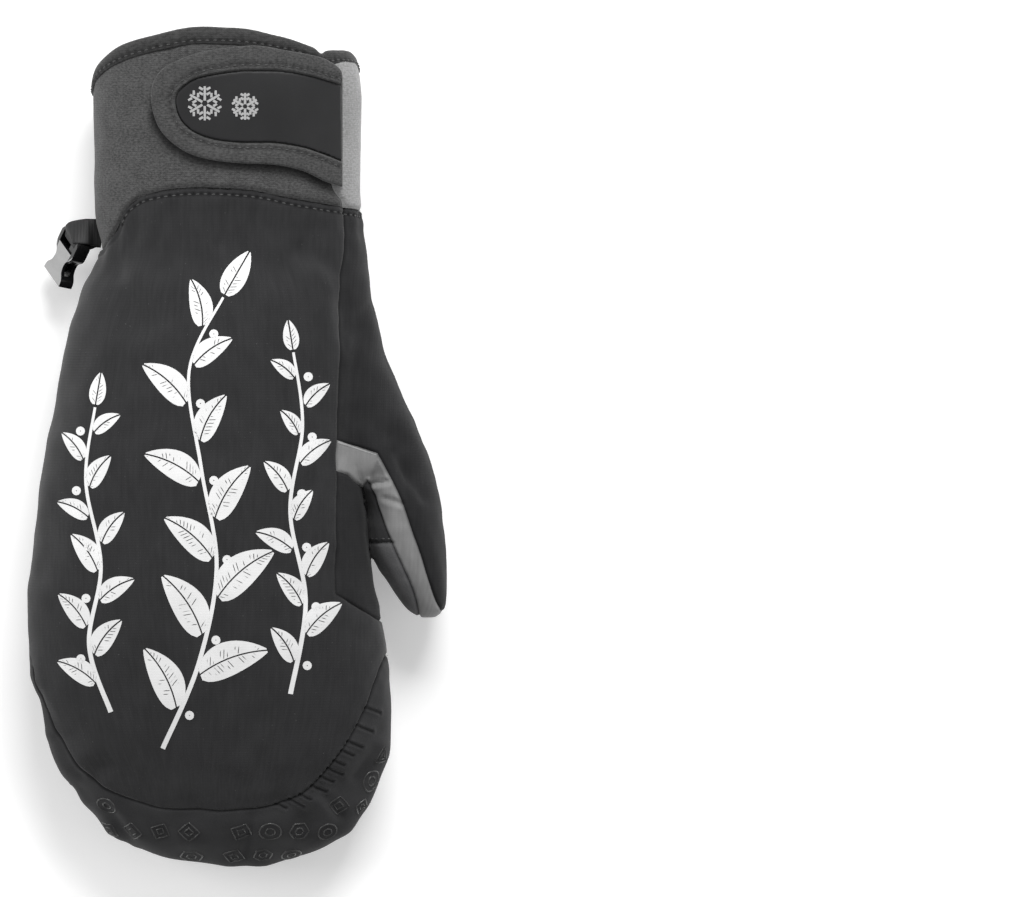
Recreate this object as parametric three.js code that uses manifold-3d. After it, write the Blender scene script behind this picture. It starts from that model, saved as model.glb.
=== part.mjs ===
// A snowboard mitten for the right hand. It lies on its palm with the back of the hand up.
// Millimetres. X runs across the hand towards the thumb, Y from the fingertips to the cuff's mouth,
// and Z up out of the back of the hand. The origin is on the ground under the middle of the palm.
import * as THREE from 'three';
import { mergeVertices } from 'three/addons/utils/BufferGeometryUtils.js';
import Module from 'manifold-3d';

const wasm = await Module();
wasm.setup();

// Driving sizes
const SEAM_GAP = 0.3; // between two sewn pieces
const SHELL_WALL = 4.0; // face fabric, wadding and lining of the hand
const CUFF_WALL = 3.0; // foam-backed knit
const SIDE_SEAM_Z = 16; // height of the seam between the back and the palm
const GUSSET_FOOT_Z = 12; // height where the light gusset ends on the palm side
const ROUNDNESS = 2.35; // exponent of the section's superellipse, 2 is an ellipse
const WIDEST_SHARE = 0.45; // height of a section's widest place, as a share of its height
const FLATTENING = 4.0; // how far the round section would reach below the ground it lies on
const BINDING = { height: 4.7, proud: 0.9, inside: 0.5 };
const STRAP = { lift: 0.35, floor: 1.5, top: 3.1, patchLow: 1.8, patchTop: 2.7 };
const WEBBING = { width: 9.5, thick: 1.1 };
const BUCKLE = { width: 13.4, length: 13, thick: 5, waist: 9.0, bar: 2.0, slot: 2.6, slotWidth: 10.2 };
const FACETS = { body: 48, bodyInside: 30, thumb: 24, thumbInside: 16, strap: 80 };
const STEPS = { body: 22, bodyInside: 15, thumb: 16, thumbInside: 9 };
const FAR = 100; // beyond the mitten on any side

// Outer sections of the hand and cuff, from behind the cuff's mouth to the fingertips
const BODY = [
  { y: 146.0, left: -38.3, right: 49.2, top: 50.0, bottom: 0.0 },
  { y: 122.0, left: -38.4, right: 49.3, top: 50.5, bottom: 0.0 },
  { y: 98.0, left: -38.3, right: 48.8, top: 49.5, bottom: 0.0 },
  { y: 78.0, left: -38.0, right: 49.8, top: 48.5, bottom: 0.0 },
  { y: 64.5, left: -35.9, right: 50.8, top: 48.5, bottom: 0.0 },
  { y: 53.0, left: -42.5, right: 51.6, top: 52.0, bottom: 0.0 },
  { y: 33.0, left: -48.5, right: 51.0, top: 55.5, bottom: 0.0 },
  { y: 3.0, left: -53.8, right: 50.6, top: 58.0, bottom: 0.0 },
  { y: -26.0, left: -57.4, right: 51.9, top: 58.0, bottom: 0.0 },
  { y: -51.0, left: -59.7, right: 55.8, top: 56.0, bottom: 0.0 },
  { y: -76.0, left: -58.7, right: 59.4, top: 52.0, bottom: 0.0 },
  { y: -98.0, left: -52.7, right: 59.0, top: 46.0, bottom: 0.6 },
  { y: -115.0, left: -43.3, right: 53.0, top: 39.0, bottom: 2.6 },
  { y: -127.5, left: -30.6, right: 42.4, top: 31.5, bottom: 6.0 },
  { y: -135.6, left: -11.5, right: 27.0, top: 24.0, bottom: 10.5 },
  { y: -139.0, left: 3.0, right: 14.0, top: 18.6, bottom: 15.0 },
];

// Outer sections of the thumb, from its root inside the hand to its tip
const THUMB = [
  { y: 58.0, left: 18.0, right: 48.5, top: 36.0, bottom: 10.0 },
  { y: 46.0, left: 18.0, right: 53.0, top: 38.5, bottom: 8.0 },
  { y: 33.0, left: 19.0, right: 56.9, top: 40.0, bottom: 6.0 },
  { y: 18.0, left: 22.0, right: 63.4, top: 41.0, bottom: 4.5 },
  { y: 3.0, left: 28.0, right: 69.3, top: 41.0, bottom: 3.5 },
  { y: -9.0, left: 42.0, right: 73.1, top: 40.5, bottom: 3.0 },
  { y: -19.0, left: 52.4, right: 75.3, top: 40.0, bottom: 3.0 },
  { y: -30.0, left: 53.2, right: 77.0, top: 38.5, bottom: 3.6 },
  { y: -41.0, left: 57.0, right: 77.9, top: 35.0, bottom: 5.5 },
  { y: -48.0, left: 61.2, right: 77.8, top: 31.0, bottom: 8.0 },
  { y: -52.8, left: 64.9, right: 76.3, top: 27.0, bottom: 12.0 },
  { y: -55.0, left: 69.3, right: 73.3, top: 21.6, bottom: 18.0 },
];

// The seam between hand and cuff, and the cuff's mouth, each over the back and over the palm
const WRIST_BACK = [
  { x: -38.0, y: 65.0 },
  { x: -30.7, y: 73.6 },
  { x: -25.9, y: 80.6 },
  { x: -19.1, y: 84.2 },
  { x: -4.6, y: 86.0 },
  { x: 14.9, y: 85.1 },
  { x: 29.4, y: 82.2 },
  { x: 49.8, y: 79.0 },
];
const WRIST_PALM = [
  { x: -38.0, y: 65.0 },
  { x: 0.0, y: 74.0 },
  { x: 49.8, y: 79.0 },
];
const MOUTH_BACK = [
  { x: -38.4, y: 122.0 },
  { x: -36.6, y: 126.6 },
  { x: -30.0, y: 132.0 },
  { x: -19.8, y: 137.0 },
  { x: -1.7, y: 139.6 },
  { x: 22.4, y: 137.0 },
  { x: 36.0, y: 132.4 },
  { x: 40.5, y: 133.0 },
  { x: 45.0, y: 132.6 },
  { x: 47.5, y: 130.4 },
  { x: 49.2, y: 126.7 },
];
const MOUTH_PALM = [
  { x: -38.4, y: 122.0 },
  { x: -20.0, y: 121.0 },
  { x: 25.0, y: 122.0 },
  { x: 49.2, y: 126.7 },
];

// Seams seen from above
const THUMB_SIDE_SEAM = [[44.8, 95], [44.6, 80.9], [43.4, 40], [42.2, 3.3]];
const CROTCH_TOP = [[42.2, 3.3], [55.4, -1]];
const CROTCH_FOOT = [[51.4, -12.9], [45.2, -7.6], [42.2, -6.9]];
const STRIP_RIGHT = [
  [55.4, -1], [58.7, -8.1], [63, -15.2], [66, -23.4], [69.3, -32.2], [72.4, -42.6], [75.2, -57],
];
const STRIP_LEFT = [
  [68.7, -57], [67.5, -47.5], [64.7, -39.9], [60.4, -31.7], [57.1, -23.4], [53.8, -13.5], [51.4, -12.9],
];
const SIDE_PANEL_SEAM = [[42.2, -6.9], [41.8, -47.2], [57.4, -56.8], [63, -60]];
const THUMB_CLEFT = [
  [63, -60], [60, -50], [57.2, -45.5], [54.7, -40.5], [52.8, -33], [52.2, -24], [51.4, -12.9],
];
const THUMB_ROOT_SEAM = [[51.4, -12.9], [46, 0], [43.5, 22], [46, 40], [60, 50]];
const FINGERTIP_SEAM = [
  [64, -60], [57.4, -69.3], [51.5, -84.8], [43.9, -98.3], [34, -109.9], [24.4, -116], [9.9, -118.5],
  [-8.6, -118.5], [-21.1, -116.6], [-36.6, -109.9], [-50.2, -94.4], [-56.4, -80], [-58.7, -68.3], [-64, -60],
];
const GUSSET_SEAM = [[37.4, 150], [37.5, 133], [38.9, 108.9], [40.6, 87.8], [44.9, 79.5], [45.5, 60]];

// The closure strap and the smooth patch on it, seen from above
const STRAP_END_X = 43.6;
const STRAP_EDGE = [
  [STRAP_END_X, 86.7], [38, 88.9], [31, 92.7], [21.8, 94.1], [7.9, 94.5], [-3.6, 96.4], [-11.6, 100.7],
  [-16.8, 107], [-18.8, 116.3], [-16.6, 123.2], [-11, 127.2], [-1, 130.7], [14.5, 132.6], [26, 131],
  [36, 129.2], [STRAP_END_X, 126.7],
];
const PATCH_EDGE = [
  [STRAP_END_X - 0.4, 95.4], [38, 97.7], [31, 100], [21.8, 101.4], [12.5, 101.4], [3.3, 102], [-4.6, 104.6],
  [-9.6, 109.4], [-11.2, 116.6], [-6.2, 121.7], [-1.3, 123.8], [7.9, 125.5], [17.2, 125.7], [26.4, 125.4],
  [35.6, 123.4], [STRAP_END_X - 0.4, 120.7],
];

// Soft creases and dents in the skin, seen from above: a line, its half width and its depth
const CREASES = [
  { from: [60, 4], to: [66, -8], half: 3.5, deep: 1.3 },
  { from: [66, -8], to: [72, -20], half: 3.5, deep: 1.0 },
  { from: [-60, -82], to: [-48, -94], half: 5, deep: 1.6 },
  { from: [54, -104], to: [44, -112], half: 5, deep: 1.4 },
  { from: [-36, 60], to: [-24, 44], half: 5, deep: 1.5 },
  { from: [40, 62], to: [47, 40], half: 4, deep: 1.2 },
];

// Where the webbing is sewn in at the cuff, and how the buckle hangs from it
const WEBBING_ROOT = { x: -38.8, y: 72, z: 17.2, apart: 1.9 };
const BUCKLE_CENTRE = new THREE.Vector3(-50.2, 62.4, 12.5);
const BUCKLE_ACROSS = new THREE.Vector3(0.398, -0.536, 0.743);
const BUCKLE_ALONG = new THREE.Vector3(0.417, 0.829, 0.375);

// A row between two rows of a table, with every column on a smooth curve
function between(rows, place) {
  const first = Math.min(Math.floor(place), rows.length - 2);
  const part = place - first;
  const near = [-1, 0, 1, 2].map((step) => rows[THREE.MathUtils.clamp(first + step, 0, rows.length - 1)]);
  const mixed = {};
  for (const column of Object.keys(rows[0])) {
    const [a, b, c, d] = near.map((row) => row[column]);
    const bend = 2 * a - 5 * b + 4 * c - d + part * (3 * b - a - 3 * c + d);
    mixed[column] = b + 0.5 * part * (c - a + part * bend);
  }
  return mixed;
}

// The place in a table, counted in rows, where the section lies at y
function placeAt(rows, y) {
  let low = 0;
  let high = rows.length - 1;
  for (let halving = 0; halving < 24; halving += 1) {
    const middle = (low + high) / 2;
    if (between(rows, middle).y > y) low = middle;
    else high = middle;
  }
  return (low + high) / 2;
}

// A point of a section: angle 0 is straight up, a quarter turn is towards the thumb
function sectionPoint(rows, place, angle) {
  const row = between(rows, place);
  const power = 2 / ROUNDNESS;
  const side = Math.sign(Math.sin(angle)) * Math.abs(Math.sin(angle)) ** power;
  const rise = Math.sign(Math.cos(angle)) * Math.abs(Math.cos(angle)) ** power;
  const widest = row.bottom + WIDEST_SHARE * (row.top - row.bottom);
  const reach = rise > 0 ? row.top - widest : widest - row.bottom + FLATTENING;
  const x = (row.left + row.right) / 2 + (side * (row.right - row.left)) / 2;
  return new THREE.Vector3(x, row.y, Math.max(widest + rise * reach, row.bottom));
}

// How deep the creases press the skin in at a point of its upper side
function creaseDepth(point) {
  let depth = 0;
  for (const crease of CREASES) {
    const line = new THREE.Line3(new THREE.Vector3(...crease.from, 0), new THREE.Vector3(...crease.to, 0));
    const flat = new THREE.Vector3(point.x, point.y, 0);
    const away = line.closestPointToPoint(flat, true, new THREE.Vector3()).distanceTo(flat);
    depth += crease.deep * Math.exp(-((away / crease.half) ** 2));
  }
  return point.z > SIDE_SEAM_Z ? depth : 0;
}

// A point of the skin, moved out along its normal by grow, or in where grow is negative, but never
// into the ground
function skin(rows, place, angle, grow) {
  const last = rows.length - 1;
  const step = 0.02;
  const point = sectionPoint(rows, place, angle);
  const along = sectionPoint(rows, Math.min(place + step, last), angle);
  along.sub(sectionPoint(rows, Math.max(place - step, 0), angle));
  const around = sectionPoint(rows, place, angle + step).sub(sectionPoint(rows, place, angle - step));
  const normal = along.cross(around).normalize();
  point.addScaledVector(normal, grow - creaseDepth(point));
  return point.setZ(Math.max(point.z, 0));
}

// The middle of a section, moved past the end of the form by grow
function sectionMiddle(rows, place, grow) {
  const row = between(rows, place);
  return new THREE.Vector3((row.left + row.right) / 2, row.y + grow, (row.top + row.bottom) / 2);
}

// A table's y at some x, on straight lines between its rows
function heightAt(rows, x) {
  const next = Math.max(1, rows.findIndex((row) => row.x >= x));
  const [a, b] = x >= rows.at(-1).x ? rows.slice(-2) : [rows[next - 1], rows[next]];
  const part = THREE.MathUtils.clamp((x - a.x) / (b.x - a.x), 0, 1);
  return a.y + part * (b.y - a.y);
}

// The place of the wrist seam, or of the cuff's mouth, in the section at an angle
function edgePlace(backRows, palmRows, angle, lower) {
  const rows = Math.cos(angle) > 0 ? backRows : palmRows;
  const x = sectionPoint(BODY, placeAt(BODY, rows.at(-1).y), angle).x;
  return placeAt(BODY, heightAt(rows, x) - lower);
}
const wristPlace = (angle, lower) => edgePlace(WRIST_BACK, WRIST_PALM, angle, lower);
const mouthPlace = (angle, lower) => edgePlace(MOUTH_BACK, MOUTH_PALM, angle, lower);

// A lathe form whose every vertex is moved by place(station, angle). Stations marked as middles lie on the
// axis; a list that doesn't start on the axis is closed on itself, which gives a ring.
function turnedForm(stations, sides, place) {
  const closed = stations[0].middle ? stations : [...stations, stations[0]];
  const profile = closed.map((station, index) => new THREE.Vector2(station.middle ? 0 : 1 + index, index));
  const geometry = new THREE.LatheGeometry(profile, sides);
  const position = geometry.attributes.position;
  for (let vertex = 0; vertex < position.count; vertex += 1) {
    const turn = Math.floor(vertex / closed.length) % sides;
    const point = place(closed[vertex % closed.length], (2 * Math.PI * turn) / sides);
    position.setXYZ(vertex, point.x, point.y, point.z);
  }
  return solidOf(geometry);
}

// A closed solid for joining and cutting, from any closed geometry
function solidOf(geometry) {
  geometry.deleteAttribute('normal');
  geometry.deleteAttribute('uv');
  const merged = mergeVertices(geometry, 1e-4);
  const corners = merged.index.array;
  const triangles = [];
  for (let corner = 0; corner < corners.length; corner += 3) {
    const [a, b, c] = corners.slice(corner, corner + 3);
    if (a !== b && b !== c && c !== a) triangles.push(a, b, c);
  }
  const vertProperties = new Float32Array(merged.attributes.position.array);
  const triVerts = new Uint32Array(triangles);
  return new wasm.Manifold(new wasm.Mesh({ numProp: 3, vertProperties, triVerts }));
}

// A solid with upright sides over an outline seen from above
function prism(outline, low, high) {
  const shape = new THREE.Shape(outline.map(([x, y]) => new THREE.Vector2(x, y)));
  const geometry = new THREE.ExtrudeGeometry(shape, { depth: high - low, bevelEnabled: false });
  return solidOf(geometry.translate(0, 0, low));
}

// A smooth line through the points of a seam
function smoothLine(points, steps) {
  const curve = new THREE.SplineCurve(points.map(([x, y]) => new THREE.Vector2(x, y)));
  return curve.getPoints(steps).map((point) => [point.x, point.y]);
}

// A line moved sideways by a distance, to the right of its direction
function beside(points, distance) {
  return points.map(([x, y], index) => {
    const [x0, y0] = points[Math.max(index - 1, 0)];
    const [x1, y1] = points[Math.min(index + 1, points.length - 1)];
    const length = Math.hypot(x1 - x0, y1 - y0);
    return [x + (distance * (y1 - y0)) / length, y - (distance * (x1 - x0)) / length];
  });
}

// The thin upright slit that a seam leaves between two pieces
function slit(line, low, high) {
  const outline = [...beside(line, SEAM_GAP / 2), ...beside(line, -SEAM_GAP / 2).reverse()];
  return prism(outline, low, high);
}

// A solid hand or thumb inside the skin, from a first place that may change with the angle
function filledForm(rows, startPlace, steps, sides, grow) {
  const stations = [{ middle: true, share: 1 }];
  for (let step = steps; step >= 0; step -= 1) stations.push({ share: step / steps });
  stations.push({ middle: true, share: 0 });
  const last = rows.length - 1;
  return turnedForm(stations, sides, (station, angle) => {
    const start = station.middle ? startPlace(0) : startPlace(angle);
    const place = THREE.MathUtils.lerp(start, last, station.share);
    if (!station.middle) return skin(rows, place, angle, grow);
    return sectionMiddle(rows, place, station.share === 1 ? -grow : 0);
  });
}

// The largest body of a solid that a cut may have left with slivers
function mainBody(solid) {
  const bodies = solid.decompose();
  return bodies.reduce((best, body) => (body.volume() > best.volume() ? body : best));
}

// A ring of cloth: each station has a share of the way between two edges and its height over the skin
function clothRing(stations, sides, startPlace, endPlace) {
  return turnedForm(stations, sides, (station, angle) => {
    const place = THREE.MathUtils.lerp(startPlace(angle), endPlace(angle), station.share);
    return skin(BODY, place, angle, station.grow);
  });
}

// The hollow hand and thumb in one, which ends in the wrist seam
function makeShell() {
  const wristEnd = (angle) => wristPlace(angle, SEAM_GAP / 2);
  const hand = filledForm(BODY, (angle) => wristEnd(angle) - 0.5, STEPS.body, FACETS.body, 0);
  const thumb = filledForm(THUMB, () => 0, STEPS.thumb, FACETS.thumb, 0);
  const handInside = filledForm(BODY, () => 0, STEPS.bodyInside, FACETS.bodyInside, -SHELL_WALL);
  const thumbInside = filledForm(THUMB, () => 0, STEPS.thumbInside, FACETS.thumbInside, -SHELL_WALL);
  const deep = -2 * SHELL_WALL;
  const past = [
    { share: 0, grow: 2 }, { share: 1, grow: 2 }, { share: 1, grow: deep }, { share: 0, grow: deep },
    { share: 0, grow: -CUFF_WALL }, { share: 0, grow: 0 },
  ];
  const pastWrist = clothRing(past, FACETS.body, wristEnd, (angle) => wristEnd(angle) - 1);
  return hand.add(thumb).subtract(handInside).subtract(thumbInside).subtract(pastWrist);
}

function makeShellPieces() {

  const tipSeam = smoothLine(FINGERTIP_SEAM, 30);
  const stripRight = smoothLine(STRIP_RIGHT, 12);
  const stripLeft = smoothLine(STRIP_LEFT, 12);
  const cleft = smoothLine(THUMB_CLEFT, 12);
  const rootSeam = smoothLine(THUMB_ROOT_SEAM, 12);
  const regions = {
    back_shell: [
      [-FAR, FAR], ...THUMB_SIDE_SEAM, ...SIDE_PANEL_SEAM, ...tipSeam, [-FAR, -60],
    ],
    side_panel: [...SIDE_PANEL_SEAM, ...cleft.slice(1), ...CROTCH_FOOT.slice(1, -1)],
    thumb_strip: [...CROTCH_TOP, ...stripRight.slice(1), ...stripLeft, ...CROTCH_FOOT.slice(1)],
    thumb_outer: [[FAR, FAR], ...THUMB_SIDE_SEAM, ...CROTCH_TOP.slice(1), ...stripRight.slice(1), [FAR, -57]],
  };
  const seams = [
    THUMB_SIDE_SEAM, SIDE_PANEL_SEAM, tipSeam, cleft, CROTCH_FOOT, CROTCH_TOP, stripRight, stripLeft,
    [CROTCH_TOP[0], CROTCH_FOOT.at(-1)],
  ];
  let cut = makeShell();
  for (const seam of seams) cut = cut.subtract(slit(seam, SIDE_SEAM_Z - SEAM_GAP / 2, FAR));
  for (const outline of Object.values(regions)) {
    cut = cut.subtract(prism(outline, SIDE_SEAM_Z - SEAM_GAP / 2, SIDE_SEAM_Z + SEAM_GAP / 2));
  }
  const pieces = {};
  let rest = cut;
  for (const [name, outline] of Object.entries(regions)) {
    const upper = prism(outline, SIDE_SEAM_Z, FAR);
    pieces[name] = mainBody(cut.intersect(upper));
    rest = rest.subtract(upper);
  }
  const thumbUnder = prism([...rootSeam, [FAR, 50], [FAR, -FAR], [63, -FAR], ...cleft], -FAR, FAR);
  rest = rest.subtract(slit(rootSeam, -FAR, SIDE_SEAM_Z));
  pieces.thumb_palm = mainBody(rest.intersect(thumbUnder));
  pieces.palm_shell = mainBody(rest.subtract(thumbUnder));
  return pieces;
}

// The binding rolled over the cuff's mouth, or the room that it takes with some clearance round it
function bindingRoll(clearance) {
  const out = BINDING.proud + clearance;
  const roll = [
    { share: 0, grow: clearance }, { share: 0.12, grow: out }, { share: 0.62, grow: out },
    { share: 0.92, grow: clearance }, { share: 1, grow: -CUFF_WALL / 2 }, { share: 0.92, grow: -CUFF_WALL },
    { share: 0.62, grow: -CUFF_WALL - BINDING.inside }, { share: 0, grow: -CUFF_WALL },
  ];
  const foot = (angle) => mouthPlace(angle, BINDING.height + clearance);
  return clothRing(roll, FACETS.body, foot, (angle) => mouthPlace(angle, -clearance));
}

function makeCuffPieces() {
  const wristEnd = (angle) => wristPlace(angle, -SEAM_GAP / 2);
  const underBinding = (angle) => mouthPlace(angle, BINDING.height + SEAM_GAP);
  const wall = [0, 0.25, 0.5, 0.75, 1].map((share) => ({ share, grow: 0 }));
  for (const share of [1, 0.5, 0]) wall.push({ share, grow: -CUFF_WALL });
  const cuff = clothRing(wall, FACETS.body, wristEnd, underBinding);
  const binding = bindingRoll(0);
  const gussetOutline = [...GUSSET_SEAM, [FAR, 60], [FAR, 150]];
  const low = GUSSET_FOOT_Z;
  const gussetSide = prism(gussetOutline, low, FAR);
  const gap = slit(GUSSET_SEAM, low - SEAM_GAP, FAR).add(prism(gussetOutline, low - SEAM_GAP, low));
  return {
    cuff: cuff.subtract(gap).subtract(gussetSide),
    cuff_gusset: cuff.subtract(gap).intersect(gussetSide),
    cuff_binding: binding.subtract(gap).subtract(gussetSide),
    gusset_binding: binding.subtract(gap).intersect(gussetSide),
  };
}

// A layer of cloth over the cuff, between two heights over its skin and inside an outline seen from above
function layerOverCuff(outline, low, high) {
  const shares = [0, 0.2, 0.4, 0.6, 0.8, 1];
  const stations = shares.map((share) => ({ share, grow: high }));
  for (const share of shares.toReversed()) stations.push({ share, grow: low });
  const first = placeAt(BODY, 80);
  const last = placeAt(BODY, 140);
  const band = clothRing(stations, FACETS.strap, () => first, () => last);
  return band.intersect(prism(outline, 2 * SIDE_SEAM_Z, FAR));
}

function makeStrapPieces() {
  const round = (edge) => smoothLine(edge, 40);
  const patchEdge = round(PATCH_EDGE);
  const pocketEdge = beside(patchEdge, -SEAM_GAP);
  const pastEnd = [pocketEdge.at(-1), pocketEdge[0]].map(([x, y]) => [x + 5, y]);
  const strap = layerOverCuff(round(STRAP_EDGE), STRAP.lift, STRAP.top).subtract(bindingRoll(SEAM_GAP));
  return {
    closure_strap: strap.subtract(layerOverCuff([...pocketEdge, ...pastEnd], STRAP.floor, STRAP.top + 1)),
    strap_patch: layerOverCuff(patchEdge, STRAP.patchLow, STRAP.patchTop),
  };
}

// The buckle's own frame: across, along towards the bar, and out of its face
function buckleFrame() {
  const across = BUCKLE_ACROSS.clone().normalize();
  const face = across.clone().cross(BUCKLE_ALONG).normalize();
  const along = face.clone().cross(across);
  return new THREE.Matrix4().makeBasis(across, along, face).setPosition(BUCKLE_CENTRE);
}

function box(width, length, height, x, y, z) {
  return solidOf(new THREE.BoxGeometry(width, length, height).translate(x, y, z));
}

// The socket half of a side-release buckle: a waisted sleeve, open at its mouth, with a bar for the webbing
function makeBuckleSocket() {
  const end = BUCKLE.length / 2;
  const half = BUCKLE.width / 2;
  const waist = BUCKLE.waist / 2;
  const outline = new THREE.Shape();
  outline.moveTo(-half, -end);
  outline.lineTo(half, -end);
  outline.bezierCurveTo(half, -end + 2.5, waist, -end + 2.5, waist, -end + 5);
  outline.bezierCurveTo(waist, end - 5, half - 0.8, end - 5, half - 0.8, end - 2.2);
  outline.lineTo(half - 0.8, end);
  outline.lineTo(-half + 0.8, end);
  outline.lineTo(-half + 0.8, end - 2.2);
  outline.bezierCurveTo(-half + 0.8, end - 5, -waist, end - 5, -waist, -end + 5);
  outline.bezierCurveTo(-waist, -end + 2.5, -half, -end + 2.5, -half, -end);
  const edge = 0.5;
  const sleeve = new THREE.ExtrudeGeometry(outline, {
    depth: BUCKLE.thick - 2 * edge, bevelThickness: edge, bevelSize: edge, bevelOffset: -edge,
    bevelSegments: 1, curveSegments: 5,
  });
  const plastic = solidOf(sleeve.translate(0, 0, edge - BUCKLE.thick / 2));
  const slotMiddle = end - BUCKLE.bar - BUCKLE.slot / 2;
  const hollow = BUCKLE.length - BUCKLE.bar - BUCKLE.slot;
  const mouth = box(BUCKLE.slotWidth, hollow, BUCKLE.thick - 2.4, 0, -end + hollow / 2 - 1, 0);
  const slot = box(BUCKLE.slotWidth, BUCKLE.slot, 2 * BUCKLE.thick, 0, slotMiddle, 0);
  const besideBar = (BUCKLE.thick + BUCKLE.bar) / 2;
  const overBar = box(BUCKLE.slotWidth, 2 * BUCKLE.bar, BUCKLE.thick, 0, end, besideBar);
  const underBar = box(BUCKLE.slotWidth, 2 * BUCKLE.bar, BUCKLE.thick, 0, end, -besideBar);
  return plastic.subtract(mouth).subtract(slot).subtract(overBar).subtract(underBar);
}

// The webbing leaves the cuff, passes round the buckle's bar and comes back to the same seam
function makeWebbingLoop(frame) {
  const inFrame = (y, z) => new THREE.Vector3(0, y, z).applyMatrix4(frame);
  const barMiddle = (BUCKLE.length - BUCKLE.bar) / 2;
  const clear = BUCKLE.bar / 2 + SEAM_GAP + WEBBING.thick / 2;
  const root = WEBBING_ROOT;
  const upper = root.z + root.apart / 2;
  const lower = root.z - root.apart / 2;
  const fromBar = new THREE.Vector3().setFromMatrixColumn(frame, 0);
  const fromRoot = new THREE.Vector3(0.1, -0.99, 0.1).normalize();
  const route = [
    [new THREE.Vector3(root.x, root.y, upper), 0],
    [new THREE.Vector3(root.x - 3, root.y + 0.3, upper + 1.0), 0.15],
    [new THREE.Vector3(root.x - 6.2, root.y - 0.6, upper + 1.0), 0.5],
    [inFrame(barMiddle + 2.4, clear + 1.2), 0.9],
    [inFrame(barMiddle, clear + 0.05), 1],
    [inFrame(barMiddle - clear * 0.78, clear * 0.78), 1],
    [inFrame(barMiddle - clear, 0), 1],
    [inFrame(barMiddle - clear * 0.78, -clear * 0.78), 1],
    [inFrame(barMiddle, -clear - 0.05), 1],
    [inFrame(barMiddle + 2.4, -clear - 0.6), 0.9],
    [new THREE.Vector3(root.x - 3.2, root.y - 3.0, lower - 1.6), 0.45],
    [new THREE.Vector3(root.x, root.y - 0.6, lower), 0],
  ];
  const line = new THREE.CatmullRomCurve3(route.map(([point]) => point), false, 'centripetal');
  const steps = 3 * (route.length - 1);
  const stations = [{ middle: true, step: 0 }];
  for (let step = 0; step <= steps; step += 1) stations.push({ step });
  stations.push({ middle: true, step: steps });
  return turnedForm(stations, 4, (station, angle) => {
    const share = station.step / steps;
    const point = line.getPoint(share);
    if (station.middle) return point;
    const knot = Math.min(Math.floor(station.step / 3), route.length - 2);
    const turned = THREE.MathUtils.lerp(route[knot][1], route[knot + 1][1], station.step / 3 - knot);
    const tangent = line.getTangent(share);
    const across = fromRoot.clone().lerp(fromBar, turned);
    across.addScaledVector(tangent, -across.dot(tangent)).normalize();
    const face = tangent.clone().cross(across);
    const corner = angle + Math.PI / 4;
    point.addScaledVector(across, Math.sign(Math.cos(corner)) * (WEBBING.width / 2));
    return point.addScaledVector(face, Math.sign(Math.sin(corner)) * (WEBBING.thick / 2));
  });
}

// Colours and finishes of the sub-parts
const FINISHES = {
  back_shell: { color: 0x363636, roughness: 0.7 },
  side_panel: { color: 0x303030, roughness: 0.7 },
  palm_shell: { color: 0x2c2c2c, roughness: 0.6 },
  thumb_outer: { color: 0x343434, roughness: 0.7 },
  thumb_strip: { color: 0x7c7c7c, roughness: 0.8 },
  thumb_palm: { color: 0x292929, roughness: 0.6 },
  cuff: { color: 0x4c4c4c, roughness: 0.9 },
  cuff_gusset: { color: 0x9a9a9a, roughness: 0.9 },
  cuff_binding: { color: 0x3b3b3b, roughness: 0.8 },
  gusset_binding: { color: 0x3b3b3b, roughness: 0.8 },
  closure_strap: { color: 0x454545, roughness: 0.9 },
  strap_patch: { color: 0x2f2f2f, roughness: 0.6 },
  webbing_loop: { color: 0x242424, roughness: 0.7 },
  buckle_socket: { color: 0xb5b5b5, roughness: 0.35 },
};

// A named mesh from a solid
function meshOf(name, solid) {
  const { numProp, vertProperties, triVerts } = solid.getMesh();
  const geometry = new THREE.BufferGeometry();
  const positions = new THREE.InterleavedBuffer(vertProperties, numProp);
  geometry.setAttribute('position', new THREE.InterleavedBufferAttribute(positions, 3, 0));
  geometry.setIndex(new THREE.BufferAttribute(triVerts, 1));
  geometry.computeVertexNormals();
  const mesh = new THREE.Mesh(geometry, new THREE.MeshStandardMaterial(FINISHES[name]));
  mesh.name = name;
  return mesh;
}

const mitten = new THREE.Group();
const frame = buckleFrame();
const pieces = { ...makeShellPieces(), ...makeCuffPieces(), ...makeStrapPieces() };
for (const [name, solid] of Object.entries(pieces)) mitten.add(meshOf(name, solid));
mitten.add(meshOf('webbing_loop', makeWebbingLoop(frame)));
const buckle = new THREE.Group();
buckle.applyMatrix4(frame);
buckle.add(meshOf('buckle_socket', makeBuckleSocket()));
mitten.add(buckle);

export default mitten;
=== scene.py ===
# %% [markdown]
# # A snowboard mitten
# The mitten lies on its palm, with the back of the hand up. Its padded shell is sewn from six panels,
# a knitted cuff closes with a strap, and a small buckle half hangs from the side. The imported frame
# gives every piece its place. This script makes the cloth, the seams and the finishes around it.

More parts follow.
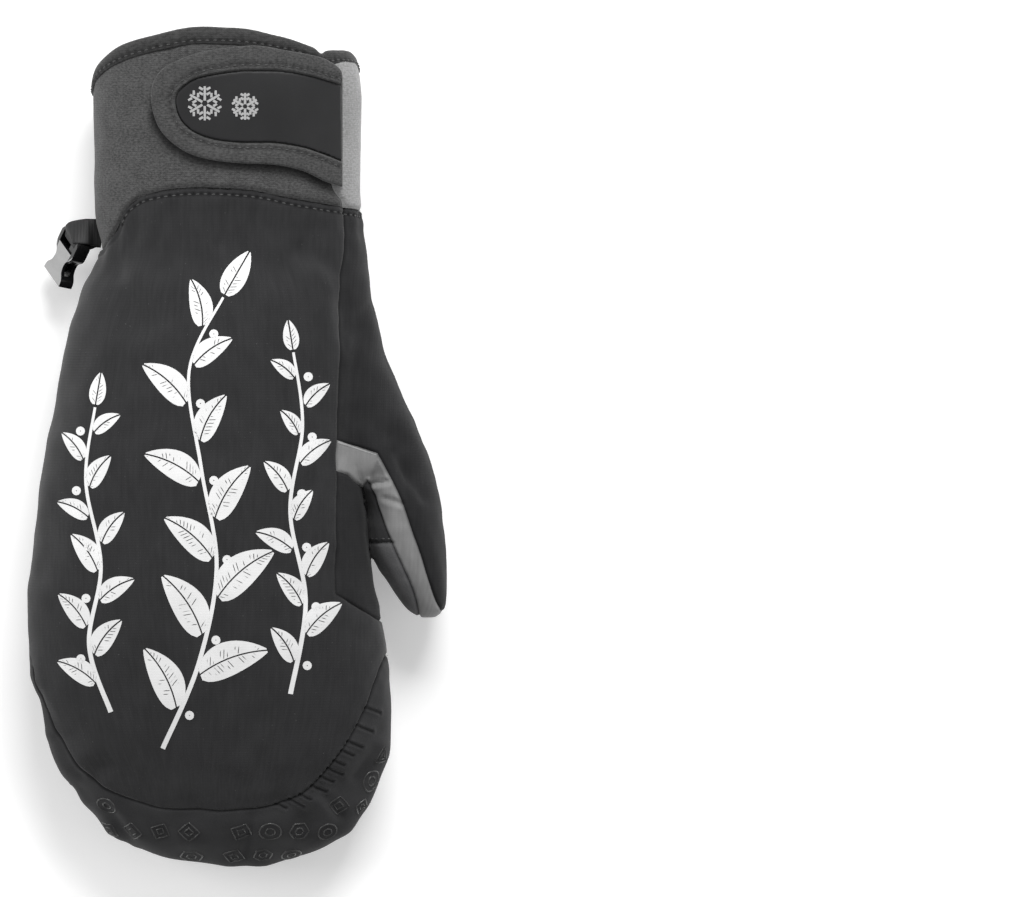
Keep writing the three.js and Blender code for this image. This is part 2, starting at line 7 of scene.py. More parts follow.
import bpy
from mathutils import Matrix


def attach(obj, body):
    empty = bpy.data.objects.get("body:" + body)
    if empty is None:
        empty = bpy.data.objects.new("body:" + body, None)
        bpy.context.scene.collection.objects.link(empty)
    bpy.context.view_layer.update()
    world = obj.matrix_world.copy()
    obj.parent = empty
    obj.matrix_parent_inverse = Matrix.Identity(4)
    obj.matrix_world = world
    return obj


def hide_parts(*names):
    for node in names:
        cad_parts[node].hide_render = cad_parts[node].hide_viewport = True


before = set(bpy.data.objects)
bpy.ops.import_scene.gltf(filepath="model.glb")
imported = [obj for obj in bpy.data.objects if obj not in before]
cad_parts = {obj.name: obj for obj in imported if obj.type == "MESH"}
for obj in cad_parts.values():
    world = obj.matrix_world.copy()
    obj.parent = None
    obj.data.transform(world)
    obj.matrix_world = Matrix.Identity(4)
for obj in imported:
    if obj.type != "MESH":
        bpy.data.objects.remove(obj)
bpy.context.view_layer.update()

# %% Imports and units
import math

import bmesh
import bpy
import numpy as np
from mathutils import Matrix, Vector
from mathutils.bvhtree import BVHTree
from mathutils.kdtree import KDTree

MM = 0.001
FAR = 200.0  # beyond the mitten on any side, in mm
print("shapes are made in millimetres and scaled to metres when they are finished")

# %% [markdown]
# ## Camera
# The photograph looks straight down, so that back and thumb show as a flat outline. A short lens close
# by would lean the sides outwards, and an orthographic camera can't be fitted by the other views. A very
# long lens far away gives nearly parallel rays and stays an ordinary camera.

# %% The camera and its frame
PHOTO_WIDTH = 1024  # pixels
PHOTO_HEIGHT = 897
PIXEL_MM = 0.33  # one pixel of the photograph on the mitten
ORIGIN_PIXEL = (210, 450)  # where the middle of the palm lies in the photograph
PLANE_Z = 26.0  # height in mm at which that scale holds
CAMERA_HEIGHT = 3750.0  # mm above that plane
SENSOR = 36.0

camera_data = bpy.data.cameras.new("camera")
camera_data.sensor_width = SENSOR
camera_data.lens = SENSOR * CAMERA_HEIGHT / (PHOTO_WIDTH * PIXEL_MM)
camera_data.clip_end = 20.0
camera = bpy.data.objects.new("camera", camera_data)
camera.location = (
    (PHOTO_WIDTH / 2 - ORIGIN_PIXEL[0]) * PIXEL_MM * MM,
    (ORIGIN_PIXEL[1] - PHOTO_HEIGHT / 2) * PIXEL_MM * MM,
    (PLANE_Z + CAMERA_HEIGHT) * MM,
)
bpy.context.scene.collection.objects.link(camera)
bpy.context.scene.camera = camera
print("lens:", round(camera_data.lens), "mm")

# %% [markdown]
# ## The sections of the form
# A padded mitten has no edges of its own. Its form is a row of rounded sections from the cuff to the
# fingertips, and the thumb is a second row. Each table gives a section's place along Y, its left and
# right side, its top and its bottom, and a smooth curve runs through every column. They follow the
# frame's sections and are drawn a little closer to the outline in the photograph.

# %% Tables of sections
HAND = np.array([  # y, left, right, top, bottom
    (146.0, -38.3, 41.0, 50.0, 0.0),
    (122.0, -38.4, 49.3, 50.5, 0.0),
    (98.0, -38.3, 48.8, 49.5, 0.0),
    (78.0, -38.0, 49.8, 48.5, 0.0),
    (64.5, -35.9, 50.8, 48.5, 0.0),
    (53.0, -41.3, 51.6, 52.0, 0.0),
    (33.0, -48.1, 51.0, 55.5, 0.0),
    (3.0, -53.8, 50.6, 58.0, 0.0),
    (-26.0, -57.6, 52.2, 58.0, 0.0),
    (-40.0, -59.5, 53.2, 57.2, 0.0),
    (-52.0, -59.9, 55.7, 55.9, 0.0),
    (-76.0, -58.7, 59.4, 52.0, 0.0),
    (-98.0, -52.7, 59.0, 46.0, 0.6),
    (-115.0, -43.8, 53.4, 39.0, 2.6),
    (-121.5, -38.5, 48.9, 35.5, 4.1),
    (-127.5, -32.8, 44.7, 31.5, 6.0),
    (-133.6, -17.6, 32.9, 24.8, 9.8),
    (-137.6, 3.5, 18.8, 18.6, 15.0),
])
THUMB = np.array([  # y, left, right, top, bottom
    (58.0, 18.0, 48.5, 36.0, 10.0),
    (46.0, 18.0, 53.0, 38.5, 8.0),
    (33.0, 19.0, 56.9, 40.0, 6.0),
    (18.0, 22.0, 63.4, 41.0, 4.5),
    (3.0, 28.0, 69.3, 41.0, 3.5),
    (-9.0, 42.0, 73.1, 40.5, 3.0),
    (-19.0, 50.6, 75.3, 40.0, 3.0),
    (-30.0, 51.0, 76.8, 38.5, 3.6),
    (-41.0, 57.0, 77.7, 35.0, 5.5),
    (-48.0, 61.4, 77.9, 31.0, 8.0),
    (-53.0, 65.6, 77.1, 27.0, 12.0),
    (-55.4, 69.3, 74.2, 21.6, 18.0),
])
ROUNDNESS = 2.35  # exponent of the rounded section, 2 is an ellipse
WIDEST_SHARE = 0.45  # height of the widest place, as a share of the section's height
FLATTENING = 4.0  # mm that the cloth gives where it rests
print("hand sections:", len(HAND), "thumb sections:", len(THUMB))


# %% From tables to points
def row_at(table, place):
    """The columns of a table at a place counted in rows, on a smooth curve through the rows."""
    place = np.asarray(place, float)
    last = len(table) - 1
    first = np.clip(np.floor(place), 0, last - 1).astype(int)
    part = (place - first)[..., None]
    a, b, c, d = (table[np.clip(first + step, 0, last)] for step in (-1, 0, 1, 2))
    bend = 2 * a - 5 * b + 4 * c - d + part * (3 * b - a - 3 * c + d)
    return b + 0.5 * part * (c - a + part * bend)


def place_at(table, y):
    """The place in a table where its section lies at y."""
    places = np.linspace(0, len(table) - 1, 3000)
    return np.interp(-np.asarray(y, float), -row_at(table, places)[:, 0], places)


def section_point(table, place, angle):
    """A point of a section. Angle 0 is straight up, a quarter turn is towards the thumb."""
    place, angle = np.broadcast_arrays(place, angle)
    y, left, right, top, bottom = np.moveaxis(row_at(table, place), -1, 0)
    side = np.sign(np.sin(angle)) * np.abs(np.sin(angle)) ** (2 / ROUNDNESS)
    rise = np.sign(np.cos(angle)) * np.abs(np.cos(angle)) ** (2 / ROUNDNESS)
    widest = bottom + WIDEST_SHARE * (top - bottom)
    reach = np.where(rise > 0, top - widest, widest - bottom + FLATTENING)
    x = (left + right) / 2 + side * (right - left) / 2
    return np.stack([x, y, np.maximum(widest + rise * reach, bottom)], -1)


def skin(table, place, angle, grow):
    """A point of the form, moved out along its normal by grow, but never into the ground."""
    step = 0.02
    last = len(table) - 1
    along = section_point(table, np.minimum(place + step, last), angle)
    along = along - section_point(table, np.maximum(place - step, 0), angle)
    around = section_point(table, place, angle + step) - section_point(table, place, angle - step)
    normal = np.cross(along, around)
    normal /= np.linalg.norm(normal, axis=-1, keepdims=True)
    point = section_point(table, place, angle) + normal * np.asarray(grow)[..., None]
    point[..., 2] = np.maximum(point[..., 2], 0)
    return point


knuckle = section_point(HAND, place_at(HAND, -26.0), 0.0)
print("height over the knuckles:", round(float(knuckle[2]), 1), "mm")

# %% [markdown]
# ## Rolled forms, cutters and remeshing
# Every soft form starts as a flat grid, as cloth does, and is rolled up: one direction of the grid runs
# round the section and the other runs along it. Panels are then cut out of the whole form with upright
# cutters, so that two neighbours always share one line.


# %% Bmesh and mesh helpers
def mesh_of(form):
    """A mesh from a bmesh, which is freed."""
    mesh = bpy.data.meshes.new("form")
    form.to_mesh(mesh)
    form.free()
    return mesh


def rolled(stations, around, place):
    """A grid rolled into a tube. place(station, angles) gives the points of one station's ring."""
    form = bmesh.new()
    bmesh.ops.create_grid(form, x_segments=around, y_segments=len(stations) - 1, size=0.5)
    form.verts.ensure_lookup_table()
    flat = np.array([vertex.co[:2] for vertex in form.verts]) + 0.5
    rings = np.rint(flat[:, 1] * (len(stations) - 1)).astype(int)
    for ring, station in enumerate(stations):
        chosen = np.flatnonzero(rings == ring)
        turn = np.rint(flat[chosen, 0] * around) % around
        points = place(station, 2 * np.pi * turn / around)
        for index, point in zip(chosen, points):
            form.verts[index].co = point
    bmesh.ops.remove_doubles(form, verts=form.verts, dist=1e-4)
    bmesh.ops.recalc_face_normals(form, faces=form.faces)
    return mesh_of(form)


def with_modifier(mesh, kind, **settings):
    """A new mesh: this one with a modifier applied."""
    holder = bpy.data.objects.new("holder", mesh)
    bpy.context.scene.collection.objects.link(holder)
    modifier = holder.modifiers.new(kind, kind)
    for name, value in settings.items():
        setattr(modifier, name, value)
    graph = bpy.context.evaluated_depsgraph_get()
    made = bpy.data.meshes.new_from_object(holder.evaluated_get(graph))
    bpy.data.objects.remove(holder)
    return made


def remeshed(mesh, voxel, rounds):
    """The mesh with even faces, and with its edges rounded by some rounds of smoothing."""
    mesh = with_modifier(mesh, "REMESH", mode="VOXEL", voxel_size=voxel)
    return with_modifier(mesh, "SMOOTH", factor=0.5, iterations=rounds)


def combined(mesh, operation, other):
    """The union, difference or intersection of two closed meshes."""
    tool = bpy.data.objects.new("tool", other)
    bpy.context.scene.collection.objects.link(tool)
    made = with_modifier(mesh, "BOOLEAN", operation=operation, object=tool, solver="MANIFOLD")
    bpy.data.objects.remove(tool)
    return made


def prism(outline, low, high):
    """A closed block with upright sides over an outline seen from above."""
    form = bmesh.new()
    base = form.faces.new([form.verts.new((x, y, low)) for x, y in outline])
    raised = bmesh.ops.extrude_face_region(form, geom=[base])
    tops = [item for item in raised["geom"] if isinstance(item, bmesh.types.BMVert)]
    bmesh.ops.translate(form, verts=tops, vec=(0, 0, high - low))
    bmesh.ops.triangulate(form, faces=form.faces)
    bmesh.ops.recalc_face_normals(form, faces=form.faces)
    return mesh_of(form)


def filled_form(table, along, around, grow):
    """A closed hand or thumb inside the skin."""
    last = len(table) - 1

    def ring(station, angle):
        place, closing = station
        if not closing:
            return skin(table, place, angle, grow)
        y, left, right, top, bottom = row_at(table, place)
        middle = ((left + right) / 2, y, (top + bottom) / 2)
        return np.broadcast_to(middle, (len(angle), 3))

    places = np.linspace(0, last, along)
    return rolled([(0, True), *[(place, False) for place in places], (last, True)], around, ring)


whole_hand = filled_form(HAND, 110, 160, 0)
whole_thumb = filled_form(THUMB, 80, 96, 0)
print("hand form:", len(whole_hand.vertices), "vertices, thumb form:", len(whole_thumb.vertices))

# %% [markdown]
# ## Seams
# A pattern cutter would draw the seams on paper, and they are drawn the same way here: as lines seen from
# above, in mm. Upright cutters over these lines part the form into its panels. The seam that runs round
# the side of the hand lies level, at one height over the ground.

# %% Seam lines seen from above
SIDE_SEAM_Z = 16.0
THUMB_SIDE_SEAM = [(44.8, 95), (44.6, 80.9), (43.4, 40), (42.2, 3.3)]
CROTCH_TOP = [(42.2, 3.3), (55.4, -1)]
CROTCH_FOOT = [(52, -10), (50.5, -12.6), (46, -8.2), (42.2, -6.9)]
STRIP_RIGHT = [
    (55.4, -1), (59.3, -8.2), (63.3, -16.4), (67.3, -27.7), (69.9, -34.7), (72.3, -42.7), (74.4, -48.9),
    (76.4, -52.9), (78.4, -57),
]
STRIP_LEFT = [
    (69.2, -57), (68.1, -50.2), (66.7, -45.5), (64.4, -40.1), (60.9, -32.5), (58.8, -27.7), (56.2, -20.6),
    (54, -13.6), (52, -10),
]
SIDE_PANEL_SEAM = [(42.2, -6.9), (41.8, -47.2), (57.4, -56.8), (63, -60)]
THUMB_CLEFT = [
    (63, -60), (60, -50), (57.2, -45.5), (54.7, -40.5), (53, -33), (52.4, -24), (50.5, -12.6),
]
THUMB_ROOT_SEAM = [(50.5, -12.6), (46, 0), (43.5, 22), (46, 40), (60, 50)]
FINGERTIP_SEAM = [
    (64, -60), (57.4, -69.3), (51.5, -84.8), (43.9, -98.3), (34, -109.9), (24.4, -116), (9.9, -118.5),
    (-8.6, -118.5), (-21.1, -116.6), (-36.6, -109.9), (-50.2, -94.4), (-56.4, -80), (-58.7, -68.3),
    (-64, -60),
]
GUSSET_SEAM = [(37.4, 150), (37.5, 133), (38.9, 108.9), (40.6, 87.8), (44.9, 79.5), (45.5, 60)]
WRIST_BACK = np.array([
    (-38, 65), (-30.7, 73.6), (-25.9, 80.6), (-19.1, 84.2), (-4.6, 86), (14.9, 85.1), (29.4, 82.2),
    (49.8, 79),
])
WRIST_PALM = np.array([(-38, 65), (0, 74), (49.8, 79)])
MOUTH_BACK = np.array([
    (-38.5, 122.8), (-37.1, 127.4), (-33.3, 130.9), (-27.3, 133.9), (-19, 136.2), (-9.6, 138.2),
    (-1.7, 138.9), (8, 138.8), (17, 137.9), (25.8, 136.2), (33, 134), (35.6, 132.9), (36.9, 131.5),
    (39.3, 131.8), (41.9, 132.2), (45.8, 131.9), (47.7, 130.6),
])
MOUTH_PALM = np.array([(-38.5, 122.8), (-20, 121), (25, 122), (42, 126), (47.7, 130.6)])


def smooth_line(points, steps):
    """A smooth line through the points of a seam."""
    points = np.asarray(points, float)
    return row_at(points, np.linspace(0, len(points) - 1, steps + 1))


def beside(line, distance):
    """A line seen from above, moved sideways to the right of its direction."""
    line = np.asarray(line, float)
    step = line[np.minimum(np.arange(len(line)) + 1, len(line) - 1)]
    step = step - line[np.maximum(np.arange(len(line)) - 1, 0)]
    step /= np.linalg.norm(step, axis=1, keepdims=True)
    return line + distance * np.stack([step[:, 1], -step[:, 0]], 1)


def closed(line):
    """A line that comes back to its first point."""
    return np.vstack([line, line[:1]])


def edge_place(back, palm, angle, lower=0.0):
    """The place of the wrist seam, or of the cuff's mouth, in the section at an angle."""
    x = section_point(HAND, place_at(HAND, back[-1][1]), angle)[..., 0]
    back, palm = smooth_line(back, 80), smooth_line(palm, 80)
    over_back = np.interp(x, back[:, 0], back[:, 1])
    over_palm = np.interp(x, palm[:, 0], palm[:, 1])
    return place_at(HAND, np.where(np.cos(angle) > 0, over_back, over_palm) - lower)


ROUND = np.linspace(0, 2 * np.pi, 400, endpoint=False)
wrist_line = skin(HAND, edge_place(WRIST_BACK, WRIST_PALM, ROUND), ROUND, 0)
wrist_steps = np.linalg.norm(np.diff(wrist_line, axis=0), axis=1)
print("girth at the wrist seam:", round(float(wrist_steps.sum())), "mm")

# %% [markdown]
# ## The padded hand
# Hand and thumb are joined, and a voxel remesh turns them into one even skin. A few rounds of smoothing
# then leave the soft fillet that wadding makes between thumb and hand. The panels are cut from it as
# closed walls of face fabric and wadding. Cutting comes before the seams are pressed in, because then
# each seam has a row of its own vertices, and its valley is crisp.

# %% The whole skin and the hollow in it
VOXEL = 0.8
FILLET_STEPS = 18
FACE_WALL = 2.9  # face fabric and wadding
LINING_WALL = 1.0
REST_HEIGHT = 0.25  # the palm fabric over the ground, on its rubber print


def points_of(mesh):
    """The vertices' places as an array."""
    flat = np.empty(3 * len(mesh.vertices), np.float32)
    mesh.vertices.foreach_get("co", flat)
    return flat.reshape(-1, 3).astype(float)


def move_points(mesh, points):
    """Puts the vertices where an array says."""
    mesh.vertices.foreach_set("co", np.asarray(points, np.float32).ravel())
    mesh.update()


def surface_of(mesh):
    """A mesh prepared for finding its nearest point, or where a ray meets it."""
    return BVHTree.FromPolygons([v.co for v in mesh.vertices], [p.vertices for p in mesh.polygons])


def hollow(depth):
    """The closed room inside hand and thumb, at a depth under the skin."""
    return combined(filled_form(HAND, 64, 96, -depth), "UNION", filled_form(THUMB, 40, 48, -depth))


def beyond_wrist(lower):
    """A closed cutter for all that lies past the wrist seam, moved towards the fingertips by lower."""
    middle_near, middle_far = (5.0, 75.0, 24.0), (5.0, 150.0, 24.0)

    def ring(station, angle):
        kind, grow = station
        if kind in ("near", "far"):
            return np.broadcast_to(middle_near if kind == "near" else middle_far, (len(angle), 3))
        if kind == "seam":
            return skin(HAND, edge_place(WRIST_BACK, WRIST_PALM, angle, lower), angle, grow)
        return skin(HAND, 0.0, angle, grow)

    stations = [("near", 0), ("seam", -8.0), ("seam", 4.0), ("mouth", 4.0), ("far", 0)]
    return rolled(stations, 240, ring)


skin_mesh = remeshed(combined(whole_hand, "UNION", whole_thumb), VOXEL, FILLET_STEPS)
skin_points = points_of(skin_mesh)
skin_points[:, 2] = np.maximum(skin_points[:, 2], REST_HEIGHT)
move_points(skin_mesh, skin_points)
skin_surface = surface_of(skin_mesh)
shell = combined(skin_mesh, "DIFFERENCE", hollow(FACE_WALL))
shell = combined(shell, "DIFFERENCE", beyond_wrist(0.15))
print("skin:", len(skin_mesh.polygons), "faces, hollow shell:", len(shell.polygons), "faces")


# %% The panels
def largest_body(mesh):
    """The mesh without the slivers that a cut may leave beside its main body."""
    form = bmesh.new()
    form.from_mesh(mesh)
    form.verts.ensure_lookup_table()
    seen = set()
    bodies = []
    for start in form.verts:
        if start.index in seen:
            continue
        seen.add(start.index)
        body = [start]
        for vertex in body:
            for edge in vertex.link_edges:
                other = edge.other_vert(vertex)
                if other.index not in seen:
                    seen.add(other.index)
                    body.append(other)
        bodies.append(body)
    bodies.sort(key=len)
    loose = [vertex for body in bodies[:-1] for vertex in body]
    bmesh.ops.delete(form, geom=loose, context="VERTS")
    return mesh_of(form)


tip_seam = smooth_line(FINGERTIP_SEAM, 60)
strip_right = smooth_line(STRIP_RIGHT, 24)
strip_left = smooth_line(STRIP_LEFT, 24)
cleft = smooth_line(THUMB_CLEFT, 24)
root_seam = smooth_line(THUMB_ROOT_SEAM, 24)
REGIONS = {
    "back_shell": [(-FAR, FAR), *THUMB_SIDE_SEAM, *SIDE_PANEL_SEAM, *tip_seam, (-FAR, -60)],
    "side_panel": [*SIDE_PANEL_SEAM, *cleft[1:], *CROTCH_FOOT[2:-1]],
    "thumb_strip": [*CROTCH_TOP, *strip_right[1:], *strip_left, *CROTCH_FOOT[1:]],
    "thumb_outer": [(FAR, FAR), *THUMB_SIDE_SEAM, *CROTCH_TOP[1:], *strip_right[1:], (FAR, -57)],
}
panels = {}
rest = shell
for name, outline in REGIONS.items():
    cutter = prism(outline, SIDE_SEAM_Z, FAR)
    panels[name] = largest_body(combined(shell, "INTERSECT", cutter))
    rest = combined(rest, "DIFFERENCE", cutter)
under_thumb = prism([*root_seam, (FAR, 50), (FAR, -FAR), (63, -FAR), *cleft], -FAR, FAR)
panels["thumb_palm"] = largest_body(combined(rest, "INTERSECT", under_thumb))
panels["palm_shell"] = largest_body(combined(rest, "DIFFERENCE", under_thumb))
for name, panel in panels.items():
    print(name, len(panel.polygons), "faces")

# %% [markdown]
# ## Pressing in the seams, folds and stitch rows
# A sewn seam pulls the cloth down to the thread, and the wadding swells up again beside it. Sculpting
# that by hand would take a brush along every line. Here each vertex learns how far it is from the
# nearest seam and moves along its own normal by a profile: a narrow valley at the seam and a low swell
# beside it. Soft creases, the gathers under the cuff and a slight unevenness are added the same way.

# %% Creases and unevenness
CREASES = [  # x and y of both ends, half width, depth
    (53.3, -11.1, 58.7, -10.4, 0.8, 0.8),
    (54, -9.2, 57.6, -8.6, 2, 0.5),
    (58.2, -15.8, 63.3, -17.7, 0.9, 0.6),
    (55.4, -2.8, 52.8, -8.8, 0.7, 0.35),
    (61, -1, 71, -16, 1.5, 0.45),
    (46, 66, 48, 54, 2.2, 0.4),
    (43, 58, 30, 66, 2.4, 0.5),
    (-22, 78, -30, 58, 2.6, 0.6),
    (-12, 80, -17, 66, 2.2, 0.4),
    (8, 80, 5, 68, 2.2, 0.4),
    (28, 77, 31, 62, 2.4, 0.45),
    (-49, 10, -42, 34, 4.0, 0.6),
    (-55, -40, -49, -18, 4.0, 0.6),
    (-51, -96, -43, -107, 1.8, 0.7),
    (-34, -118, -27, -128, 1.8, 0.7),
    (49, -108, 54, -99, 1.8, 0.6),
    (43, -120, 36, -112, 1.6, 0.6),
    (12, -132, 14, -121, 1.6, 0.5),
    (60, 4, 66, -8, 3.5, 1.3),
    (66, -8, 69.5, -15, 3.5, 0.9),
    (-57, -84, -47, -94, 5.0, 1.2),
    (51, -106, 43, -112, 5.0, 1.0),
    (-31, 56, -23, 42, 5.0, 1.3),
    (40, 62, 47, 40, 4.0, 1.2),
    (-43, -111, -35, -104, 3.0, 0.7),
    (-14, -124, -4, -118, 4.0, 0.7),
    (33, -122, 24, -114, 3.5, 0.9),
    (36, 70, 22, 58, 4.5, 0.7),
    (41, -2, 33, -12, 3.0, 0.6),
    (38, -40, 30, -50, 5.0, 0.6),
    (-30, 72, -16, 60, 4.0, 0.6),
    (47, 60, 45, 34, 3.0, 0.5),
]
LINE_PITCH = 0.3  # between the points that stand for a line


def bell(distance, half):
    """A smooth bump across a line: 1 on it, about a third at its half width, and soon nothing."""
    return np.exp(-((distance / half) ** 2))


def ramp(value, start, end):
    """0 up to the start, 1 from the end on, and a straight rise between them. The end may be the lower."""
    return np.clip((value - start) / (end - start), 0, 1)


def crease_depth(points):
    """How deep the creases press the upper side in."""
    depth = np.zeros(len(points))
    for x0, y0, x1, y1, half, deep in CREASES:
        start, way = np.array((x0, y0)), np.array((x1 - x0, y1 - y0))
        share = np.clip((points[:, :2] - start) @ way / (way @ way), 0, 1)
        away = np.linalg.norm(points[:, :2] - start - share[:, None] * way, axis=1)
        depth += deep * (bell(away, half) - 0.4 * bell(away / half - 1.9, 1))
    return depth * (points[:, 2] > SIDE_SEAM_Z)


def unevenness(points, length, seed):
    """Smooth ups and downs between about -1 and 1 that are some length long."""
    random = np.random.default_rng(seed)
    waves = random.normal(size=(14, 3))
    waves *= (random.uniform(0.6, 1.5, 14) * 2 * np.pi / length / np.linalg.norm(waves, axis=1))[:, None]
    return np.sin(points @ waves.T + random.uniform(0, 2 * np.pi, 14)).sum(1) / 5


def slow_waves(points, waves, seed):
    """Unevenness of several lengths added up. Each wave is its height and its length."""
    return sum(height * unevenness(points, length, seed + i) for i, (height, length) in enumerate(waves))


def tree_of(points):
    """Points prepared for finding the nearest one."""
    tree = KDTree(len(points))
    for index, point in enumerate(points):
        tree.insert(point, index)
    tree.balance()
    return tree


def distances(points, tree):
    """How far each point is from the nearest one in a tree."""
    return np.array([tree.find(point)[2] for point in points])


def even_line(line, pitch):
    """Points at even steps along a line, the step nearest to the pitch."""
    line = np.asarray(line, float)
    lengths = np.concatenate([[0], np.cumsum(np.linalg.norm(np.diff(line, axis=0), axis=1))])
    count = max(2, round(lengths[-1] / pitch) + 1)
    stops = np.linspace(0, lengths[-1], count)
    return np.stack([np.interp(stops, lengths, column) for column in line.T], 1)


def line_tree(line):
    """A line as close points, prepared for finding the nearest one."""
    return tree_of(even_line(line, LINE_PITCH))


def on_skin_line(line, table=HAND, grow=0.0):
    """A line seen from above, laid on the upper side of the form."""
    lifted = []
    for x, y in line:
        angles = np.linspace(-np.pi / 2, np.pi / 2, 400)
        ring = skin(table, place_at(table, y), angles, grow)
        lifted.append((x, y, np.interp(x, ring[:, 0], ring[:, 2])))
    return np.array(lifted)


print("creases:", len(CREASES), "deepest:", max(crease[-1] for crease in CREASES), "mm")

# %% The profile across a seam
SEAM_DEEP, SEAM_HALF = 0.65, 0.5
SWELL, SWELL_AT, SWELL_HALF = 0.3, 4.6, 3.0
FLAT_SEAM = {"x": 41.8, "half": 2.5, "past_y": -50, "shallower": 0.55, "lighter": 0.3}  # the seam up the thumb side: shallower, and lighter in its painted shade
QUIET_SEAM = {"x": (-26, -29), "above_y": 60, "share": 0.75}  # the wrist seam by the little finger
WRIST_MIDDLE = (5, 22)  # x and z
WRIST_RADIUS = 38  # mm of girth for one radian, as the gathers count it
WRIST_STITCH_LOWER = 2.1  # how far the stitch row lies below the wrist seam
STITCH_PITCH = 2.6
ROW_END_X = -28.4  # on the back, the row runs out under the cuff here
STITCH_DEEP, STITCH_HALF = 0.22, 0.8
HOLE_DEEP, HOLE_HALF = 0.45, 0.5
PUCKER, PUCKER_LENGTH, PUCKER_REACH = 0.13, 6, 5
TIP_DENTS, TIP_DENTS_LENGTH, TIP_DENTS_Y = 0.3, 15, (-95, -110)
CALM_SHARE, CALM_WITHIN = 0.15, 6  # beside a seam the cloth is drawn even
GATHER_PITCH, GATHER_DEEP, GATHER_REACH = 7.5, 0.35, 6
WAVES = ((0.5, 46), (0.14, 13))  # height and length of the cloth's slow unevenness
REFINE_WITHIN = 2.0  # of a seam, the panel's edges are halved
REFINE_BESIDE = 1.2  # and of a stitch row, a pleat or the hem
HEM_Y = -30.5  # where the gripping cloth of the thumb ends
HEM_DEEP = 0.45
TIP_GATHERS = {  # small pleats that cross the fingertip seam on the thumb's side
    "at": (22.0, 26.5, 30.0, 33.5, 36.5, 39.0, 41.0, 43.5, 45.5, 48.5, 51.5),
    "way": (0.92, -0.39),
    "long": 4.4,
    "deep": 0.5,
    "half": 0.5,
    "ridge": 0.6,
    "ridge_at": 1.0,
    "ridge_half": 0.45,
}
SHADES = {  # how much painted shade each kind of line gives the cloth, and over what half width
    "seam": (0.9, 0.45), "gather": (0.6, 0.45), "fold": (0.75, 0.5), "pocket": (0.35, 2.2),
    "hem": (0.8, 0.5), "hole": (1.4, 0.62), "row": (0.2, 0.8),
}
POCKET = [(58.5, -2.5), (61, 1.5), (65, 4)]  # painted shade in the pocket beside the crotch patch
# corners of a triangle of painted shade on the strip, where it turns from the light beside the crotch patch
FOLD_TOP, FOLD_LEFT, FOLD_RIGHT = np.array([(55.4, -3.8), (53.2, -9.4), (57.9, -9.4)])
FOLD_STEPS = 8

stitch_place = edge_place(WRIST_BACK, WRIST_PALM, ROUND, WRIST_STITCH_LOWER)
shell_stitch_line = closed(skin(HAND, stitch_place, ROUND, 0))
shell_stitch_tree = line_tree(shell_stitch_line)
shell_holes = even_line(shell_stitch_line, STITCH_PITCH)
shell_holes = shell_holes[(shell_holes[:, 0] > ROW_END_X) | (shell_holes[:, 2] < SIDE_SEAM_Z)]
shell_hole_tree = tree_of(shell_holes)
wrist_tree = line_tree(closed(wrist_line))
tip_rim = even_line(tip_seam, 0.2)
gather_lines = []
for stop in TIP_GATHERS["at"]:
    spot = tip_rim[np.argmin(np.abs(tip_rim[:, 0] - stop) + 50 * (tip_rim[:, 1] > -70))]
    way = np.array(TIP_GATHERS["way"]) * (0.8 + 0.4 * math.sin(2.3 * stop) ** 2)
    gather_lines.append(np.linspace(spot, spot + TIP_GATHERS["long"] * way, 14))
gather_tree = tree_of(on_skin_line(np.vstack(gather_lines)))
fold_points = []
for row in range(FOLD_STEPS + 1):
    for column in range(row + 1):
        down, across = row / FOLD_STEPS, column / FOLD_STEPS
        spot = FOLD_TOP + down * (FOLD_LEFT - FOLD_TOP) + across * (FOLD_RIGHT - FOLD_LEFT)
        fold_points.append((*spot, 0.0))
fold_tree = tree_of(fold_points)
pocket_tree = tree_of([(x, y, 0.0) for x, y in even_line(POCKET, LINE_PITCH)])
thumb_palm_skin = surface_of(panels["thumb_palm"])
hem_ring = skin(THUMB, place_at(THUMB, HEM_Y), np.linspace(0, 2 * np.pi, 500), 0)
on_panel = [thumb_palm_skin.find_nearest(Vector(spot), 0.6)[0] is not None for spot in hem_ring]
hem_tree = tree_of(hem_ring[on_panel])
print("needle holes at the wrist:", len(shell_holes), "pleats at the fingertips:", len(gather_lines))


# %% Pressing a panel
ON_SKIN = 0.05
SAMPLE_PITCH = 0.25


def skin_vertices(form):
    """The vertices that lie on the outer skin."""
    return {v for v in form.verts if skin_surface.find_nearest(v.co, ON_SKIN)[0] is not None}


def seam_samples(form, on_skin):
    """Points along every edge where the outer skin meets a cut."""
    samples = []
    for edge in form.edges:
        if edge.verts[0] in on_skin and edge.verts[1] in on_skin:
            faces_on_skin = [all(v in on_skin for v in face.verts) for face in edge.link_faces]
            if not all(faces_on_skin):
                a, b = (v.co for v in edge.verts)
                count = max(1, math.ceil((b - a).length / SAMPLE_PITCH))
                samples += [a.lerp(b, step / count) for step in range(count + 1)]
    return samples


def is_near(point, limits):
    """Whether a point lies closer to any of some trees than the limit that stands beside it."""
    return any(tree.find(point)[2] < limit for tree, limit in limits)


def shade_of(kind, distance):
    """How much painted shade one kind of line gives the cloth at a distance."""
    strength, half = SHADES[kind]
    return strength * bell(distance, half)


